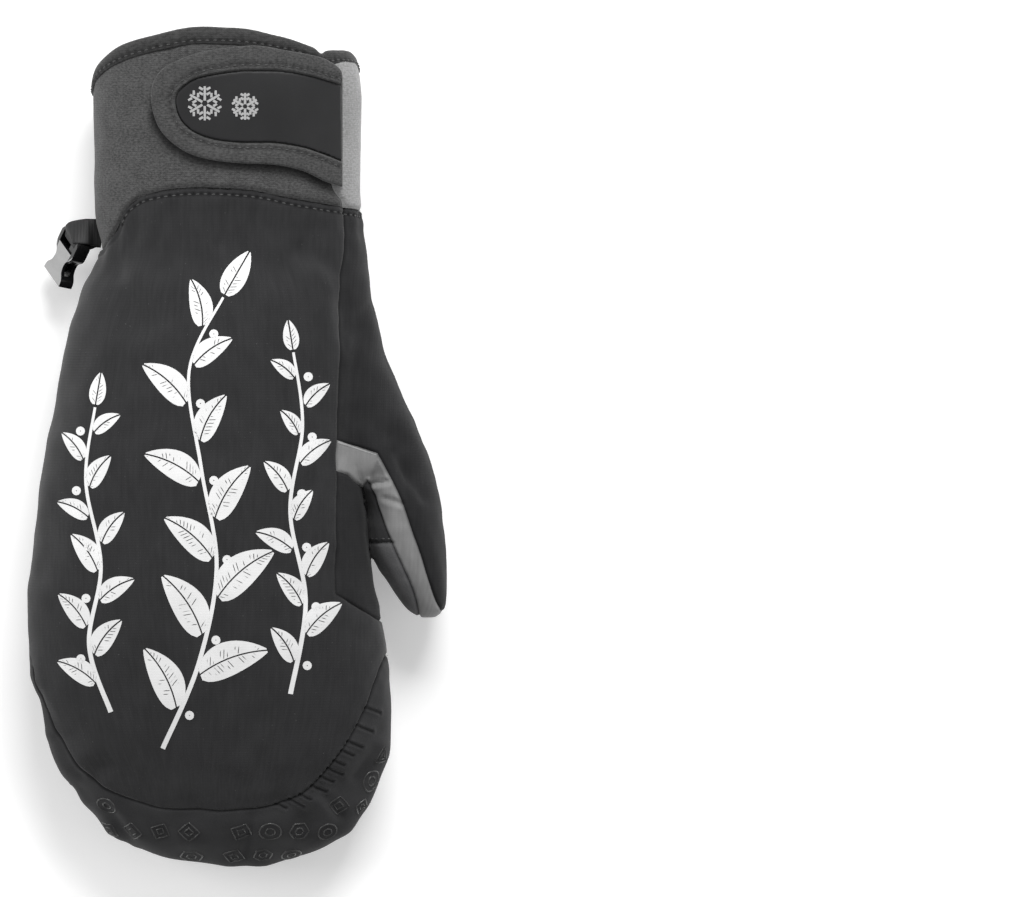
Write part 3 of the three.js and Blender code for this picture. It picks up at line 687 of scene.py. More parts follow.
def depth_and_painted_shade(points, away, seed):
    """How deep each point of the skin sinks, and how much painted shade it gets. Away is how far the seams
    are.
    """
    x, y, z = points.T
    to_row, to_hole = distances(points, shell_stitch_tree), distances(points, shell_hole_tree)
    to_gather, to_hem = distances(points, gather_tree), distances(points, hem_tree)
    below_cuff = np.maximum(0, distances(points, wrist_tree) - 1)
    girth = np.arctan2(x - WRIST_MIDDLE[0], z - WRIST_MIDDLE[1]) * WRIST_RADIUS
    quiet = ramp(x, *QUIET_SEAM["x"]) * (y > QUIET_SEAM["above_y"])
    fade = 1 - QUIET_SEAM["share"] * quiet
    flat = bell(x - FLAT_SEAM["x"], FLAT_SEAM["half"]) * (y > FLAT_SEAM["past_y"])
    depth = fade * (1 - FLAT_SEAM["shallower"] * flat) * SEAM_DEEP * bell(away, SEAM_HALF)
    depth += TIP_GATHERS["deep"] * bell(to_gather, TIP_GATHERS["half"])
    ridge = bell(to_gather - TIP_GATHERS["ridge_at"], TIP_GATHERS["ridge_half"])
    depth -= TIP_GATHERS["ridge"] * TIP_GATHERS["deep"] * ridge
    depth -= SWELL * bell(away - SWELL_AT, SWELL_HALF)
    depth += STITCH_DEEP * bell(to_row, STITCH_HALF)
    depth += HEM_DEEP * bell(to_hem, SEAM_HALF)
    depth += HOLE_DEEP * bell(to_hole, HOLE_HALF)
    depth += PUCKER * unevenness(points, PUCKER_LENGTH, seed + 2) * np.exp(-away / PUCKER_REACH)
    depth += TIP_DENTS * unevenness(points, TIP_DENTS_LENGTH, seed + 3) * ramp(y, *TIP_DENTS_Y)
    depth += GATHER_DEEP * np.sin(girth * 2 * np.pi / GATHER_PITCH) * np.exp(-below_cuff / GATHER_REACH)
    depth += crease_depth(points)
    calm = np.clip(away / CALM_WITHIN, CALM_SHARE, 1)
    depth += calm * slow_waves(points, WAVES, seed)
    # The shade is painted shade in the cloth's colour: darkest in seams, needle holes, pleats and the hem.
    shade = fade * (1 - FLAT_SEAM["lighter"] * flat) * shade_of("seam", away)
    shade += shade_of("gather", to_gather) + shade_of("hem", to_hem)
    shade += shade_of("hole", to_hole) + shade_of("row", to_row)
    # painted shade of the fold triangle and the pocket, on the upper side only
    from_above = points * (1, 1, 0)
    fold_and_pocket_shade = shade_of("fold", distances(from_above, fold_tree))
    fold_and_pocket_shade += shade_of("pocket", distances(from_above, pocket_tree))
    return depth, shade + fold_and_pocket_shade * (z > SIDE_SEAM_Z)


def press_panel(mesh, seed):
    """The panel with its seams, folds and stitch row sunk in, and painted shade stored on its vertices."""
    form = bmesh.new()
    form.from_mesh(mesh)
    painted_shade = form.verts.layers.float.new("painted_shade")
    seam_tree = tree_of(seam_samples(form, skin_vertices(form)))
    limits = [(seam_tree, REFINE_WITHIN)]
    limits += [(tree, REFINE_BESIDE) for tree in (shell_stitch_tree, gather_tree, hem_tree)]
    close = [edge for edge in form.edges if is_near((edge.verts[0].co + edge.verts[1].co) / 2, limits)]
    bmesh.ops.subdivide_edges(form, edges=close, cuts=1, use_grid_fill=True)
    on_skin = skin_vertices(form)
    ordered = [v for v in form.verts if v in on_skin]
    normals = []
    for vertex in ordered:
        faces = [face for face in vertex.link_faces if all(v in on_skin for v in face.verts)]
        total = sum((face.normal * face.calc_area() for face in faces), Vector())
        normals.append(total.normalized())
    points = np.array([vertex.co for vertex in ordered])
    depth, shade = depth_and_painted_shade(points, distances(points, seam_tree), seed)
    # Each vertex on the skin stores its painted shade and sinks by its depth.
    for vertex, normal, down, dark in zip(ordered, normals, depth, shade):
        vertex[painted_shade] = min(dark, 1.0)
        vertex.co -= normal * down
        vertex.co.z = max(vertex.co.z, REST_HEIGHT)
    bmesh.ops.recalc_face_normals(form, faces=form.faces)
    return mesh_of(form)


PANEL_SEED = 7
for name in panels:
    panels[name] = press_panel(panels[name], PANEL_SEED)
    print(name, len(panels[name].polygons), "faces after pressing")

# %% [markdown]
# ## Lining
# Through the cuff's mouth one sees a soft lining. It is a thin wall of its own behind the panels, so no
# light falls through the seams.

# %% The lining
lining = combined(hollow(FACE_WALL + 0.05), "DIFFERENCE", hollow(FACE_WALL + LINING_WALL))
lining = combined(lining, "DIFFERENCE", beyond_wrist(0.3))
print("lining:", len(lining.polygons), "faces")

# %% [markdown]
# ## Cuff and gusset
# The cuff is a foam-backed knit, with a light stretch gusset let in at the thumb side. Both are bands of
# one tube, so a grid is laid over the tube and only its limits differ: the gusset runs between the seam
# on the back and the one under the thumb's side, and the cuff takes the rest of the way round.


# %% Marks of painted shade
def mark_painted_shade(mesh, marks):
    """Stores painted shade on each vertex near seams, stitch rows and edges. The cloth's colour darkens by
    it.
    """
    points = points_of(mesh)
    shade = sum(strength * bell(distances(points, tree), half) for tree, half, strength in marks)
    attribute = mesh.attributes.new("painted_shade", "FLOAT", "POINT")
    attribute.data.foreach_set("value", np.minimum(shade, 1.0).astype(np.float32))
    return mesh


ROW_MARK = (0.8, 0.2)  # painted shade along a stitch row: half width and strength
# painted shade at a needle hole: half width and strength
HOLE_MARK = (0.68, 1.4)
print("a mark at a needle hole reaches", HOLE_MARK[0], "mm")

# %% The two bands
CUFF_WALL = 3.0
GUSSET_FOOT_Z = 12.0
BINDING_HEIGHT = 6.2
CUFF_SEAM_DEEP, CUFF_SEAM_HALF = 0.8, 1.1
CUFF_FOOT_DEEP, CUFF_FOOT_HALF = 0.6, 1.2
CUFF_RADIUS = 26  # mm along the seam's section for one radian
CUFF_LENGTH = 45
CUFF_MIDDLE = (5, 24)  # x and z
CUFF_WAVES = ((0.35, 34), (0.1, 11))
GUSSET_SWELL = 0.5
CUFF_SEED = 21

gusset_seam = smooth_line(GUSSET_SEAM, 80)[::-1]


def gusset_angles(place):
    """The angles of the gusset's upper and lower seam in a section."""
    upper = np.linspace(0.05, np.pi / 2, 160)
    lower = np.linspace(np.pi / 2, np.pi - 0.05, 160)
    over = section_point(HAND, place, upper)
    under = section_point(HAND, place, lower)
    seam_x = np.interp(over[0, 1], gusset_seam[:, 1], gusset_seam[:, 0])
    high = np.interp(seam_x, over[:, 0], upper)
    low = np.interp(-GUSSET_FOOT_Z, -under[:, 2], lower)
    return high, low


def cuff_band(from_gusset, across, along):
    """The gusset, or the rest of the cuff, as a wall of cloth."""
    form = bmesh.new()
    bmesh.ops.create_grid(form, x_segments=across, y_segments=along, size=0.5)
    flat = np.array([vertex.co[:2] for vertex in form.verts]) + 0.5
    angle = np.full(len(flat), np.pi / 2)
    for _ in range(3):
        start = edge_place(WRIST_BACK, WRIST_PALM, angle, -0.15)
        end = edge_place(MOUTH_BACK, MOUTH_PALM, angle, 0.6 * BINDING_HEIGHT)
        place = start + flat[:, 1] * (end - start)
        limits = np.array([gusset_angles(one) for one in place])
        high, low = limits[:, 0], limits[:, 1]
        if from_gusset:
            angle = high + flat[:, 0] * (low - high)
        else:
            angle = low + flat[:, 0] * (2 * np.pi - low + high)
    points = skin(HAND, place, angle, 0)
    spread = low - high if from_gusset else 2 * np.pi + high - low
    from_seam = np.abs(flat[:, 0] - np.rint(flat[:, 0])) * spread
    grow = -CUFF_SEAM_DEEP * bell(from_seam * CUFF_RADIUS, CUFF_SEAM_HALF)
    grow -= CUFF_FOOT_DEEP * bell(flat[:, 1] * CUFF_LENGTH, CUFF_FOOT_HALF)
    grow += slow_waves(points, CUFF_WAVES, CUFF_SEED)
    if from_gusset:
        grow += GUSSET_SWELL * np.sin(np.pi * flat[:, 0])
    points = skin(HAND, place, angle, grow)
    for vertex, point in zip(form.verts, points):
        vertex.co = point
    bmesh.ops.recalc_face_normals(form, faces=form.faces)
    outward = 0.0
    for face in form.faces:
        centre = face.calc_center_median()
        outward += face.normal.dot(centre - Vector((CUFF_MIDDLE[0], centre.y, CUFF_MIDDLE[1])))
    if outward < 0:
        bmesh.ops.reverse_faces(form, faces=form.faces)
    return with_modifier(mesh_of(form), "SOLIDIFY", thickness=CUFF_WALL, offset=-1.0)


cuff = cuff_band(False, 300, 80)
# The gusset gets painted shade along the wrist seam.
gusset = mark_painted_shade(cuff_band(True, 60, 60), [(wrist_tree, 1.0, 0.7)])
print("cuff:", len(cuff.polygons), "faces, gusset:", len(gusset.polygons), "faces")

# %% [markdown]
# ## Binding at the mouth
# A strip of knit is folded over the cut edge and topstitched. Its profile is a flat loop round the edge.
# The loop is swept round the mouth, cut where the gusset begins, and remeshed. That rounds the two ends
# and leaves the notch between them.

# %% The binding
BINDING_PROUD = 0.9
BINDING_INSIDE = 0.5
BINDING_ROW_UP = 1.5  # from the binding's foot to its stitch row
BINDING_LAP = 0.4  # past the gusset's upper seam, and short of its lower one
BINDING_VOXEL, BINDING_ROUNDS = 0.5, 10
GUSSET_NARROWER = 0.7
BINDING_PROFILE = [  # share of the way up the binding, height over the skin
    (0.0, 0.25), (0.1, BINDING_PROUD), (0.62, BINDING_PROUD), (0.9, 0.1), (1.0, -CUFF_WALL / 2),
    (0.9, -CUFF_WALL - 0.1), (0.62, -CUFF_WALL - BINDING_INSIDE), (0.0, -CUFF_WALL - BINDING_INSIDE),
]
NOTCH = {"x": 36.9, "half": 0.9, "deep": 0.7}
BINDING_HOLE_DEEP = 0.4
BINDING_ROW_DEEP = 0.25
BINDING_WAVE = (0.25, 16, 31)  # height, length and seed
GUSSET_STARTS_X = 37  # over the gusset the needle holes are only painted shade, and not sunk in


def binding_height(angle):
    """The binding is a little narrower over the gusset, where its knit is stretched least."""
    x = section_point(HAND, place_at(HAND, 128.0), angle)[..., 0]
    return BINDING_HEIGHT - GUSSET_NARROWER * ramp(x, 36, 40)


def binding_roll(grow_by=0.0):
    """The closed loop of binding, or the room it takes with some clearance."""
    def ring(station, angle):
        share, grow = station
        foot = edge_place(MOUTH_BACK, MOUTH_PALM, angle, binding_height(angle) + grow_by)
        top = edge_place(MOUTH_BACK, MOUTH_PALM, angle, -grow_by)
        sign = grow_by if grow > -CUFF_WALL / 2 else -grow_by
        return skin(HAND, foot + share * (top - foot), angle, grow + sign)

    return rolled([*BINDING_PROFILE, BINDING_PROFILE[0]], 260, ring)


def binding_line(up, grow):
    """A closed line round the binding, some way up from its foot."""
    return skin(HAND, edge_place(MOUTH_BACK, MOUTH_PALM, ROUND, binding_height(ROUND) - up), ROUND, grow)


binding_row = closed(binding_line(BINDING_ROW_UP, BINDING_PROUD))
binding_holes = even_line(binding_row, STITCH_PITCH)
binding_hole_tree = tree_of(binding_holes)
binding_row_tree = line_tree(binding_row)
binding_foot_tree = line_tree(closed(binding_line(0, 0.3)))
bindings = {}
for name, operation, closer in (
    ("cuff_binding", "DIFFERENCE", BINDING_LAP), ("gusset_binding", "INTERSECT", -BINDING_LAP),
):
    parting = smooth_line(GUSSET_SEAM, 30) + (closer, 0)
    gusset_side = prism([*parting, (FAR, 60), (FAR, 150)], GUSSET_FOOT_Z - closer, FAR)
    made = largest_body(combined(binding_roll(), operation, gusset_side))
    made = remeshed(made, BINDING_VOXEL, BINDING_ROUNDS)
    points = points_of(made)
    upper = ramp(points[:, 2], 30, 38)
    near_top = ramp(points[:, 1], 126, 132)
    points[:, 1] -= NOTCH["deep"] * bell(points[:, 0] - NOTCH["x"], NOTCH["half"]) * near_top * upper
    hole_deep = BINDING_HOLE_DEEP * (1 - ramp(points[:, 0], GUSSET_STARTS_X, GUSSET_STARTS_X + 1))
    points[:, 2] -= hole_deep * bell(distances(points, binding_hole_tree), HOLE_HALF) * upper
    height, length, seed = BINDING_WAVE
    points[:, 1] += height * unevenness(points, length, seed) * near_top
    points[:, 2] -= BINDING_ROW_DEEP * bell(distances(points, binding_row_tree), STITCH_HALF) * upper
    points[:, 2] = np.maximum(points[:, 2], 0.0)
    move_points(made, points)
    # Painted shade in the binding's stitch row and needle holes, and under its foot.
    bindings[name] = mark_painted_shade(made, [
        (binding_row_tree, *ROW_MARK), (binding_hole_tree, *HOLE_MARK), (binding_foot_tree, 0.5, 1.0),
    ])
    print(name, len(made.polygons), "faces")

# %% [markdown]
# ## Closure strap and its patch
# The strap is a soft foam knit with a rounded end. A smooth patch lies in a window in the middle, so that
# the knit stands round it as a low border. Both are layers over the cuff, cut to their outlines, and the
# remesh rounds the strap's edges as foam does.

# %% The strap
STRAP_END_X = 44.0
STRAP_LIFT, STRAP_FLOOR, STRAP_TOP = 0.35, 1.4, 3.7
PATCH_LOW, PATCH_TOP = 1.6, 2.6
STRAP_EDGE = [
    (STRAP_END_X, 86.4), (38, 88.3), (31, 91.6), (21.8, 93.5), (7.9, 94.2), (-3.6, 96.2), (-11.6, 100.6),
    (-16.8, 107), (-18.8, 116.3), (-16.6, 123.2), (-11, 127.2), (-1, 130.7), (14.5, 132.6), (26, 131),
    (36, 129.2), (39.5, 127.8), (42.4, 126), (43.8, 124.2), (STRAP_END_X, 122.6),
]
PATCH_EDGE = [
    (STRAP_END_X - 0.4, 94.8), (38, 97), (31, 99.2), (21.8, 100.6), (12.5, 100.6), (3.3, 101.4),
    (-4.6, 104.1),
    (-9.4, 108.9), (-10.7, 116), (-6.2, 120.6), (-1.3, 122.5), (7.9, 124.1), (17.2, 124.5),
    (26.4, 124.1), (35.6, 122.2), (STRAP_END_X - 0.4, 119.9),
]
STRAP_STITCH_OUT = 1.7  # from the patch to the stitch row
STRAP_ROW_DEEP, STRAP_ROW_HALF = 0.6, 1.2
STRAP_HOLE_DEEP, STRAP_HOLE_HALF = 0.4, 0.55
STRAP_WAVE = (0.12, 9, 41)  # height, length and seed
STRAP_REACH = 1.52  # the largest angle that a layer over the cuff is rolled to
STRAP_VOXEL, STRAP_ROUNDS = 0.5, 12
PATCH_VOXEL, PATCH_ROUNDS = 0.4, 4
PATCH_SPARE = 0.25  # inside the drawn edge
POCKET_WIDER = 0.2  # the window in the strap, outside the drawn edge
OVERHANG_BELOW_Y = 110  # below this y the strap's edge stands off, and a painted shadow lies on the cuff under it

patch_line = smooth_line(PATCH_EDGE, 90)


def layer_over_cuff(outline, low, high, around=360):
    """A layer of cloth between two heights over the cuff's back, inside an outline seen from above."""
    first, last = place_at(HAND, 80.0), place_at(HAND, 140.0)

    def ring(station, turn):
        share, closing = station
        place = first + share * (last - first)
        if closing:
            return np.broadcast_to(skin(HAND, place, np.zeros(1), (low + high) / 2)[0], (len(turn), 3))
        over = turn < np.pi
        angle = STRAP_REACH * np.where(over, 2 * turn / np.pi - 1, 3 - 2 * turn / np.pi)
        return skin(HAND, place, angle, np.where(over, high, low))

    shares = [(share, False) for share in np.linspace(0, 1, 60)]
    slab = rolled([(0.0, True), *shares, (1.0, True)], around, ring)
    return combined(slab, "INTERSECT", prism(outline, 2 * SIDE_SEAM_Z, FAR))


strap_line = smooth_line(STRAP_EDGE, 110)
strap_stitch_line = on_skin_line(beside(patch_line, -STRAP_STITCH_OUT), grow=STRAP_TOP)
strap_stitch_tree = line_tree(strap_stitch_line)
strap_holes = even_line(strap_stitch_line, STITCH_PITCH)
strap_hole_tree = tree_of(strap_holes)
patch_rim_tree = line_tree(on_skin_line(patch_line, grow=STRAP_TOP))

pocket_edge = beside(patch_line, -POCKET_WIDER)
pocket_edge = [*pocket_edge, (STRAP_END_X + 5, pocket_edge[-1][1]), (STRAP_END_X + 5, pocket_edge[0][1])]
strap = combined(layer_over_cuff(strap_line, STRAP_LIFT, STRAP_TOP), "DIFFERENCE", binding_roll(0.3))
strap = combined(strap, "DIFFERENCE", layer_over_cuff(pocket_edge, STRAP_FLOOR, STRAP_TOP + 2))
strap = remeshed(largest_body(strap), STRAP_VOXEL, STRAP_ROUNDS)
points = points_of(strap)
points[:, 2] -= STRAP_ROW_DEEP * bell(distances(points, strap_stitch_tree), STRAP_ROW_HALF)
points[:, 2] -= STRAP_HOLE_DEEP * bell(distances(points, strap_hole_tree), STRAP_HOLE_HALF)
height, length, seed = STRAP_WAVE
points[:, 2] += height * unevenness(points, length, seed) * ramp(points[:, 2], 38, 42)
move_points(strap, points)
# Painted shade on the strap in its stitch row and needle holes, and along the patch's edge.
mark_painted_shade(strap, [
    (strap_stitch_tree, 0.9, 0.2), (strap_hole_tree, *HOLE_MARK), (patch_rim_tree, 0.4, 0.9),
])
# Painted shadow on the cuff under the strap's lower edge, and painted shade along the wrist seam.
strap_rim = even_line(on_skin_line(strap_line), LINE_PITCH)
strap_shadow_tree = tree_of(strap_rim[strap_rim[:, 1] < OVERHANG_BELOW_Y])
mark_painted_shade(cuff, [(wrist_tree, 1.1, 0.7), (strap_shadow_tree, 1.6, 1.2)])

patch = layer_over_cuff(beside(patch_line, PATCH_SPARE), PATCH_LOW, PATCH_TOP)
patch = remeshed(patch, PATCH_VOXEL, PATCH_ROUNDS)
print("strap:", len(strap.polygons), "faces, patch:", len(patch.polygons), "faces")

# %% [markdown]
# ## Webbing and buckle
# A short loop of ribbon webbing leaves the side seam, passes round the bar of the buckle's socket half
# and comes back. The loop is a flat section swept along a route through a dozen points. The buckle is
# moulded plastic: a waisted block, hollowed from its mouth and cut for the webbing, with every edge
# rounded. Its place and its length follow the photograph.

# %% The buckle's own frame
BUCKLE_CENTRE = Vector((-47.5, 63.9, 13.2))
BUCKLE_ACROSS = Vector((0.398, -0.536, 0.743)).normalized()
BUCKLE_FACE = BUCKLE_ACROSS.cross(Vector((0.417, 0.829, 0.375))).normalized()
BUCKLE_ALONG = BUCKLE_FACE.cross(BUCKLE_ACROSS)  # towards the bar
BUCKLE = {
    "width": 13.0, "length": 16.4, "thick": 5.0, "waist": 7.4, "bar": 2.0, "slot": 3.0, "slot_width": 9.9,
}
BUCKLE_WALL = 1.2
BUCKLE_BEVEL = 0.32
WEBBING_WIDTH, WEBBING_THICK = 9.0, 1.1
buckle_frame = Matrix((BUCKLE_ACROSS, BUCKLE_ALONG, BUCKLE_FACE)).transposed().to_4x4()
buckle_frame.translation = BUCKLE_CENTRE
print("buckle centre:", [round(c, 1) for c in BUCKLE_CENTRE])


# %% The webbing
def curve_through(points, steps):
    """A centripetal curve through 3-D points. It doesn't overshoot where the points lie close together."""
    points = np.asarray(points, float)
    ends = np.vstack([2 * points[0] - points[1], points, 2 * points[-1] - points[-2]])
    knots = np.concatenate([[0], np.cumsum(np.linalg.norm(np.diff(ends, axis=0), axis=1) ** 0.5)])
    line = []
    for index in range(1, len(ends) - 2):
        t0, t1, t2, t3 = knots[index - 1:index + 3]
        p0, p1, p2, p3 = ends[index - 1:index + 3]
        for t in np.linspace(t1, t2, steps, endpoint=index == len(ends) - 3):
            a = (p0 * (t1 - t) + p1 * (t - t0)) / (t1 - t0)
            b = (p1 * (t2 - t) + p2 * (t - t1)) / (t2 - t1)
            c = (p2 * (t3 - t) + p3 * (t - t2)) / (t3 - t2)
            d = (a * (t2 - t) + b * (t - t0)) / (t2 - t0)
            e = (b * (t3 - t) + c * (t - t1)) / (t3 - t1)
            line.append((d * (t2 - t) + e * (t - t1)) / (t2 - t1))
    return np.array(line)


def in_buckle(y, z):
    """A point of the buckle's own middle plane, where the mitten has it."""
    return buckle_frame @ Vector((0, y, z))


bar_middle = (BUCKLE["length"] - BUCKLE["bar"]) / 2
bar_clear = BUCKLE["bar"] / 2 + 0.3 + WEBBING_THICK / 2
ROOT = Vector((-38.8, 72.0, 17.2))
ROOT_APART = 0.95
WEBBING_ROUTE = [  # a point, and how far the webbing has turned from the seam's direction to the bar's
    (ROOT + Vector((2.6, 0, ROOT_APART - 0.3)), 0.0),
    (ROOT + Vector((0, 0, ROOT_APART)), 0.0),
    (ROOT + Vector((-2.6, 0.2, ROOT_APART + 0.9)), 0.3),
    (in_buckle(bar_middle + 1.6, bar_clear + 0.9), 0.85),
    (in_buckle(bar_middle, bar_clear + 0.05), 1.0),
    (in_buckle(bar_middle - 0.78 * bar_clear, 0.78 * bar_clear), 1.0),
    (in_buckle(bar_middle - bar_clear, 0), 1.0),
    (in_buckle(bar_middle - 0.78 * bar_clear, -0.78 * bar_clear), 1.0),
    (in_buckle(bar_middle, -bar_clear - 0.05), 1.0),
    (in_buckle(bar_middle + 1.6, -bar_clear - 0.3), 0.85),
    (ROOT + Vector((-2.2, -1.6, -ROOT_APART - 0.4)), 0.4),
    (ROOT + Vector((0, -0.6, -ROOT_APART)), 0.0),
    (ROOT + Vector((2.6, -0.6, -ROOT_APART + 0.3)), 0.0),
]
ROUTE_STEPS = 8
webbing_line = curve_through([point for point, _ in WEBBING_ROUTE], ROUTE_STEPS)
route_places = np.arange(len(webbing_line)) / ROUTE_STEPS
webbing_turn = np.interp(route_places, np.arange(len(WEBBING_ROUTE)), [turn for _, turn in WEBBING_ROUTE])
from_root = Vector((0.1, -0.99, 0.1)).normalized()
route_length = float(np.linalg.norm(np.diff(webbing_line, axis=0), axis=1).sum())


def webbing_ring(station, angle):
    """A flat section with rounded edges across the route; a negative station closes an end."""
    index = abs(station) - 1
    here = webbing_line[index]
    if station < 0:
        return np.broadcast_to(here, (len(angle), 3))
    tangent = webbing_line[min(index + 1, len(webbing_line) - 1)] - webbing_line[max(index - 1, 0)]
    tangent = Vector(tangent).normalized()
    across = from_root.lerp(BUCKLE_ACROSS, webbing_turn[index])
    across = (across - tangent * across.dot(tangent)).normalized()
    face = tangent.cross(across)
    wide = np.sign(np.cos(angle)) * np.abs(np.cos(angle)) ** 0.35 * WEBBING_WIDTH / 2
    high = np.sign(np.sin(angle)) * np.abs(np.sin(angle)) ** 0.5 * WEBBING_THICK / 2
    return here + wide[:, None] * np.array(across) + high[:, None] * np.array(face)


count = len(webbing_line)
webbing = rolled([-1, *range(1, count + 1), -count], 28, webbing_ring)
print("webbing:", round(route_length), "mm long,", len(webbing.polygons), "faces")


# %% The buckle's socket
def bezier(a, b, c, d, steps=8):
    """Points of a cubic curve, without the last one."""
    t = np.linspace(0, 1, steps, endpoint=False)[:, None]
    a, b, c, d = (np.array(corner, float) for corner in (a, b, c, d))
    return a * (1 - t) ** 3 + 3 * b * t * (1 - t) ** 2 + 3 * c * t * t * (1 - t) + d * t ** 3


def block(width, length, height, x, y, z):
    """A closed block about a point."""
    form = bmesh.new()
    size = Matrix.Diagonal((width, length, height, 1))
    bmesh.ops.create_cube(form, size=1, matrix=Matrix.Translation((x, y, z)) @ size)
    return mesh_of(form)


def make_buckle():
    """The waisted sleeve with its mouth, slot and bar, placed on the mitten."""
    end, half, waist = BUCKLE["length"] / 2, BUCKLE["width"] / 2, BUCKLE["waist"] / 2
    right = [
        *bezier((half, -end), (half, -end + 4.2), (waist, -end + 2.6), (waist, -end + 6.6)),
        *bezier((waist, -end + 6.6), (waist, -end + 9.4), (half, -end + 8.6), (half, -end + 11.6)),
        (half, -end + 11.6),
        (half, end - 1.2),
        (half - 0.9, end),
    ]
    left = [(-x, y) for x, y in reversed(right)]
    thick = BUCKLE["thick"]
    plastic = prism([*right, *left], -thick / 2, thick / 2)
    wide, slot = BUCKLE["slot_width"], BUCKLE["slot"]
    depth = BUCKLE["length"] - BUCKLE["bar"] - slot
    beside_bar = (thick + BUCKLE["bar"]) / 2
    cuts = [
        block(wide, depth, thick - 2 * BUCKLE_WALL, 0, -end + depth / 2 - 1, 0),
        block(wide, slot, 2 * thick, 0, end - BUCKLE["bar"] - slot / 2, 0),
        block(wide, 2 * BUCKLE["bar"], thick, 0, end, beside_bar),
        block(wide, 2 * BUCKLE["bar"], thick, 0, end, -beside_bar),
    ]
    for cutter in cuts:
        plastic = combined(plastic, "DIFFERENCE", cutter)
    plastic.transform(buckle_frame)
    return with_modifier(plastic, "BEVEL", width=BUCKLE_BEVEL, segments=3, limit_method="ANGLE",
                         angle_limit=math.radians(40))


buckle = make_buckle()
print("buckle:", len(buckle.polygons), "faces")

# %% [markdown]
# ## Stitch rows
# A lockstitch shows as a row of short beads of thread, each pulled down between its two needle holes.
# Thread could be painted as a dotted line, but a bead catches light on one side. So each stitch is a tiny
# low ellipsoid, half sunk into the cloth, with few faces because there are hundreds.

# %% Stitches
STITCH_SIZE = (0.55, 0.45, 1.35)  # across, proud, along
STITCH_FACES = 40
HEM_STITCH_OFF = 1.3  # from the hem to its stitch row


def stitch_row(holes, surface, reach=1.2, lift=0.06):
    """A stitch between each two needle holes that lie on a surface, turned to the cloth there."""
    form = bmesh.new()
    half = Matrix.Diagonal((*[side / 2 for side in STITCH_SIZE], 1))
    for start, end in zip(holes[:-1], holes[1:]):
        if np.linalg.norm(end - start) > 1.5 * STITCH_PITCH:
            continue
        spot, normal, _, _ = surface.find_nearest(Vector((start + end) / 2), reach)
        if spot is None:
            continue
        along = Vector(end - start)
        along = (along - normal * along.dot(normal)).normalized()
        across = normal.cross(along)
        turn = Matrix((across, normal, along)).transposed().to_4x4()
        placed = Matrix.Translation(spot + normal * lift) @ turn @ half
        bmesh.ops.create_uvsphere(form, u_segments=8, v_segments=5, radius=1, matrix=placed)
    return mesh_of(form)


shell_surface = surface_of(panels["back_shell"])
palm_surface = surface_of(panels["palm_shell"])
thumb_palm_surface = surface_of(panels["thumb_palm"])
patch_surface = surface_of(patch)
hem_stitch_line = skin(THUMB, place_at(THUMB, HEM_Y + HEM_STITCH_OFF), ROUND, 0)
stitches = {
    "wrist_back": stitch_row(shell_holes, shell_surface),
    "wrist_thumb": stitch_row(shell_holes, surface_of(panels["thumb_outer"])),
    "wrist_palm": stitch_row(shell_holes, palm_surface),
    "binding": stitch_row(binding_holes, surface_of(bindings["cuff_binding"])),
    "gusset_binding": stitch_row(binding_holes, surface_of(bindings["gusset_binding"])),
    "strap": stitch_row(strap_holes, surface_of(strap)),
    "thumb_hem": stitch_row(even_line(hem_stitch_line, STITCH_PITCH), thumb_palm_surface, 0.8),
}
for name, mesh in stitches.items():
    print(name, "stitches:", len(mesh.polygons) // STITCH_FACES)

# %% [markdown]
# ## Print on the back
# The back carries a large white print in thick ink with a drawn look: here plain leaf sprigs with fine pen
# strokes. The ink is a skin of its own on the cloth. A flat grid for each half leaf is bent to the leaf's
# outline, dropped onto the panel from above, and given the ink's thickness. The strip of bare cloth
# between two halves draws the leaf's vein.

# %% Ink dropped onto a surface
INK_PROUD = 0.14
INK_WALL = 0.4
VEIN = 0.5


def dropped(surface, x, y, lift):
    """The point where a plumb line over x and y meets a surface, or None."""
    spot, normal, _, _ = surface.ray_cast(Vector((x, y, FAR)), Vector((0, 0, -1)))
    return None if spot is None else spot + normal * lift


def new_ink():
    """A bmesh that stores on each vertex where it lies in its leaf."""
    form = bmesh.new()
    form.verts.layers.float_vector.new("ink")
    return form


def ink_patch(form, surface, columns, rows, outline, shift=0.0):
    """A grid bent to an outline and laid on a surface. Outline gives a place for shares along and across."""
    ink = form.verts.layers.float_vector["ink"]
    before = set(form.verts)
    bmesh.ops.create_grid(form, x_segments=columns, y_segments=rows, size=0.5)
    made = [vertex for vertex in form.verts if vertex not in before]
    for vertex in made:
        x, y, along, across = outline(vertex.co.x + 0.5, vertex.co.y + 0.5)
        spot = dropped(surface, x, y, INK_PROUD)
        if spot is None:
            bmesh.ops.delete(form, geom=made, context="VERTS")
            return
        vertex[ink] = (along + shift, across, shift)
        vertex.co = spot
    faces = list({face for vertex in made for face in vertex.link_faces})
    for face in faces:
        face.normal_update()
    if sum(face.normal.z for face in faces) < 0:
        bmesh.ops.reverse_faces(form, faces=faces)


def leaf_outline(base, way, length, width, side, bow):
    """Half a leaf from its base along a direction, on the left (1) or right (-1) of its vein."""
    beside_way = np.array([-way[1], way[0]])

    def outline(along, across):
        share = 0.03 + 0.94 * along
        half = 1.28 * share ** 0.55 * (1 - share) ** 0.85 * width
        out = side * (VEIN / 2 + across * max(half - VEIN / 2, 0.08))
        curve = 4 * share * (1 - share) * bow * length
        x, y = base + way * share * length + beside_way * (out + curve)
        return x, y, share * length, across

    return outline


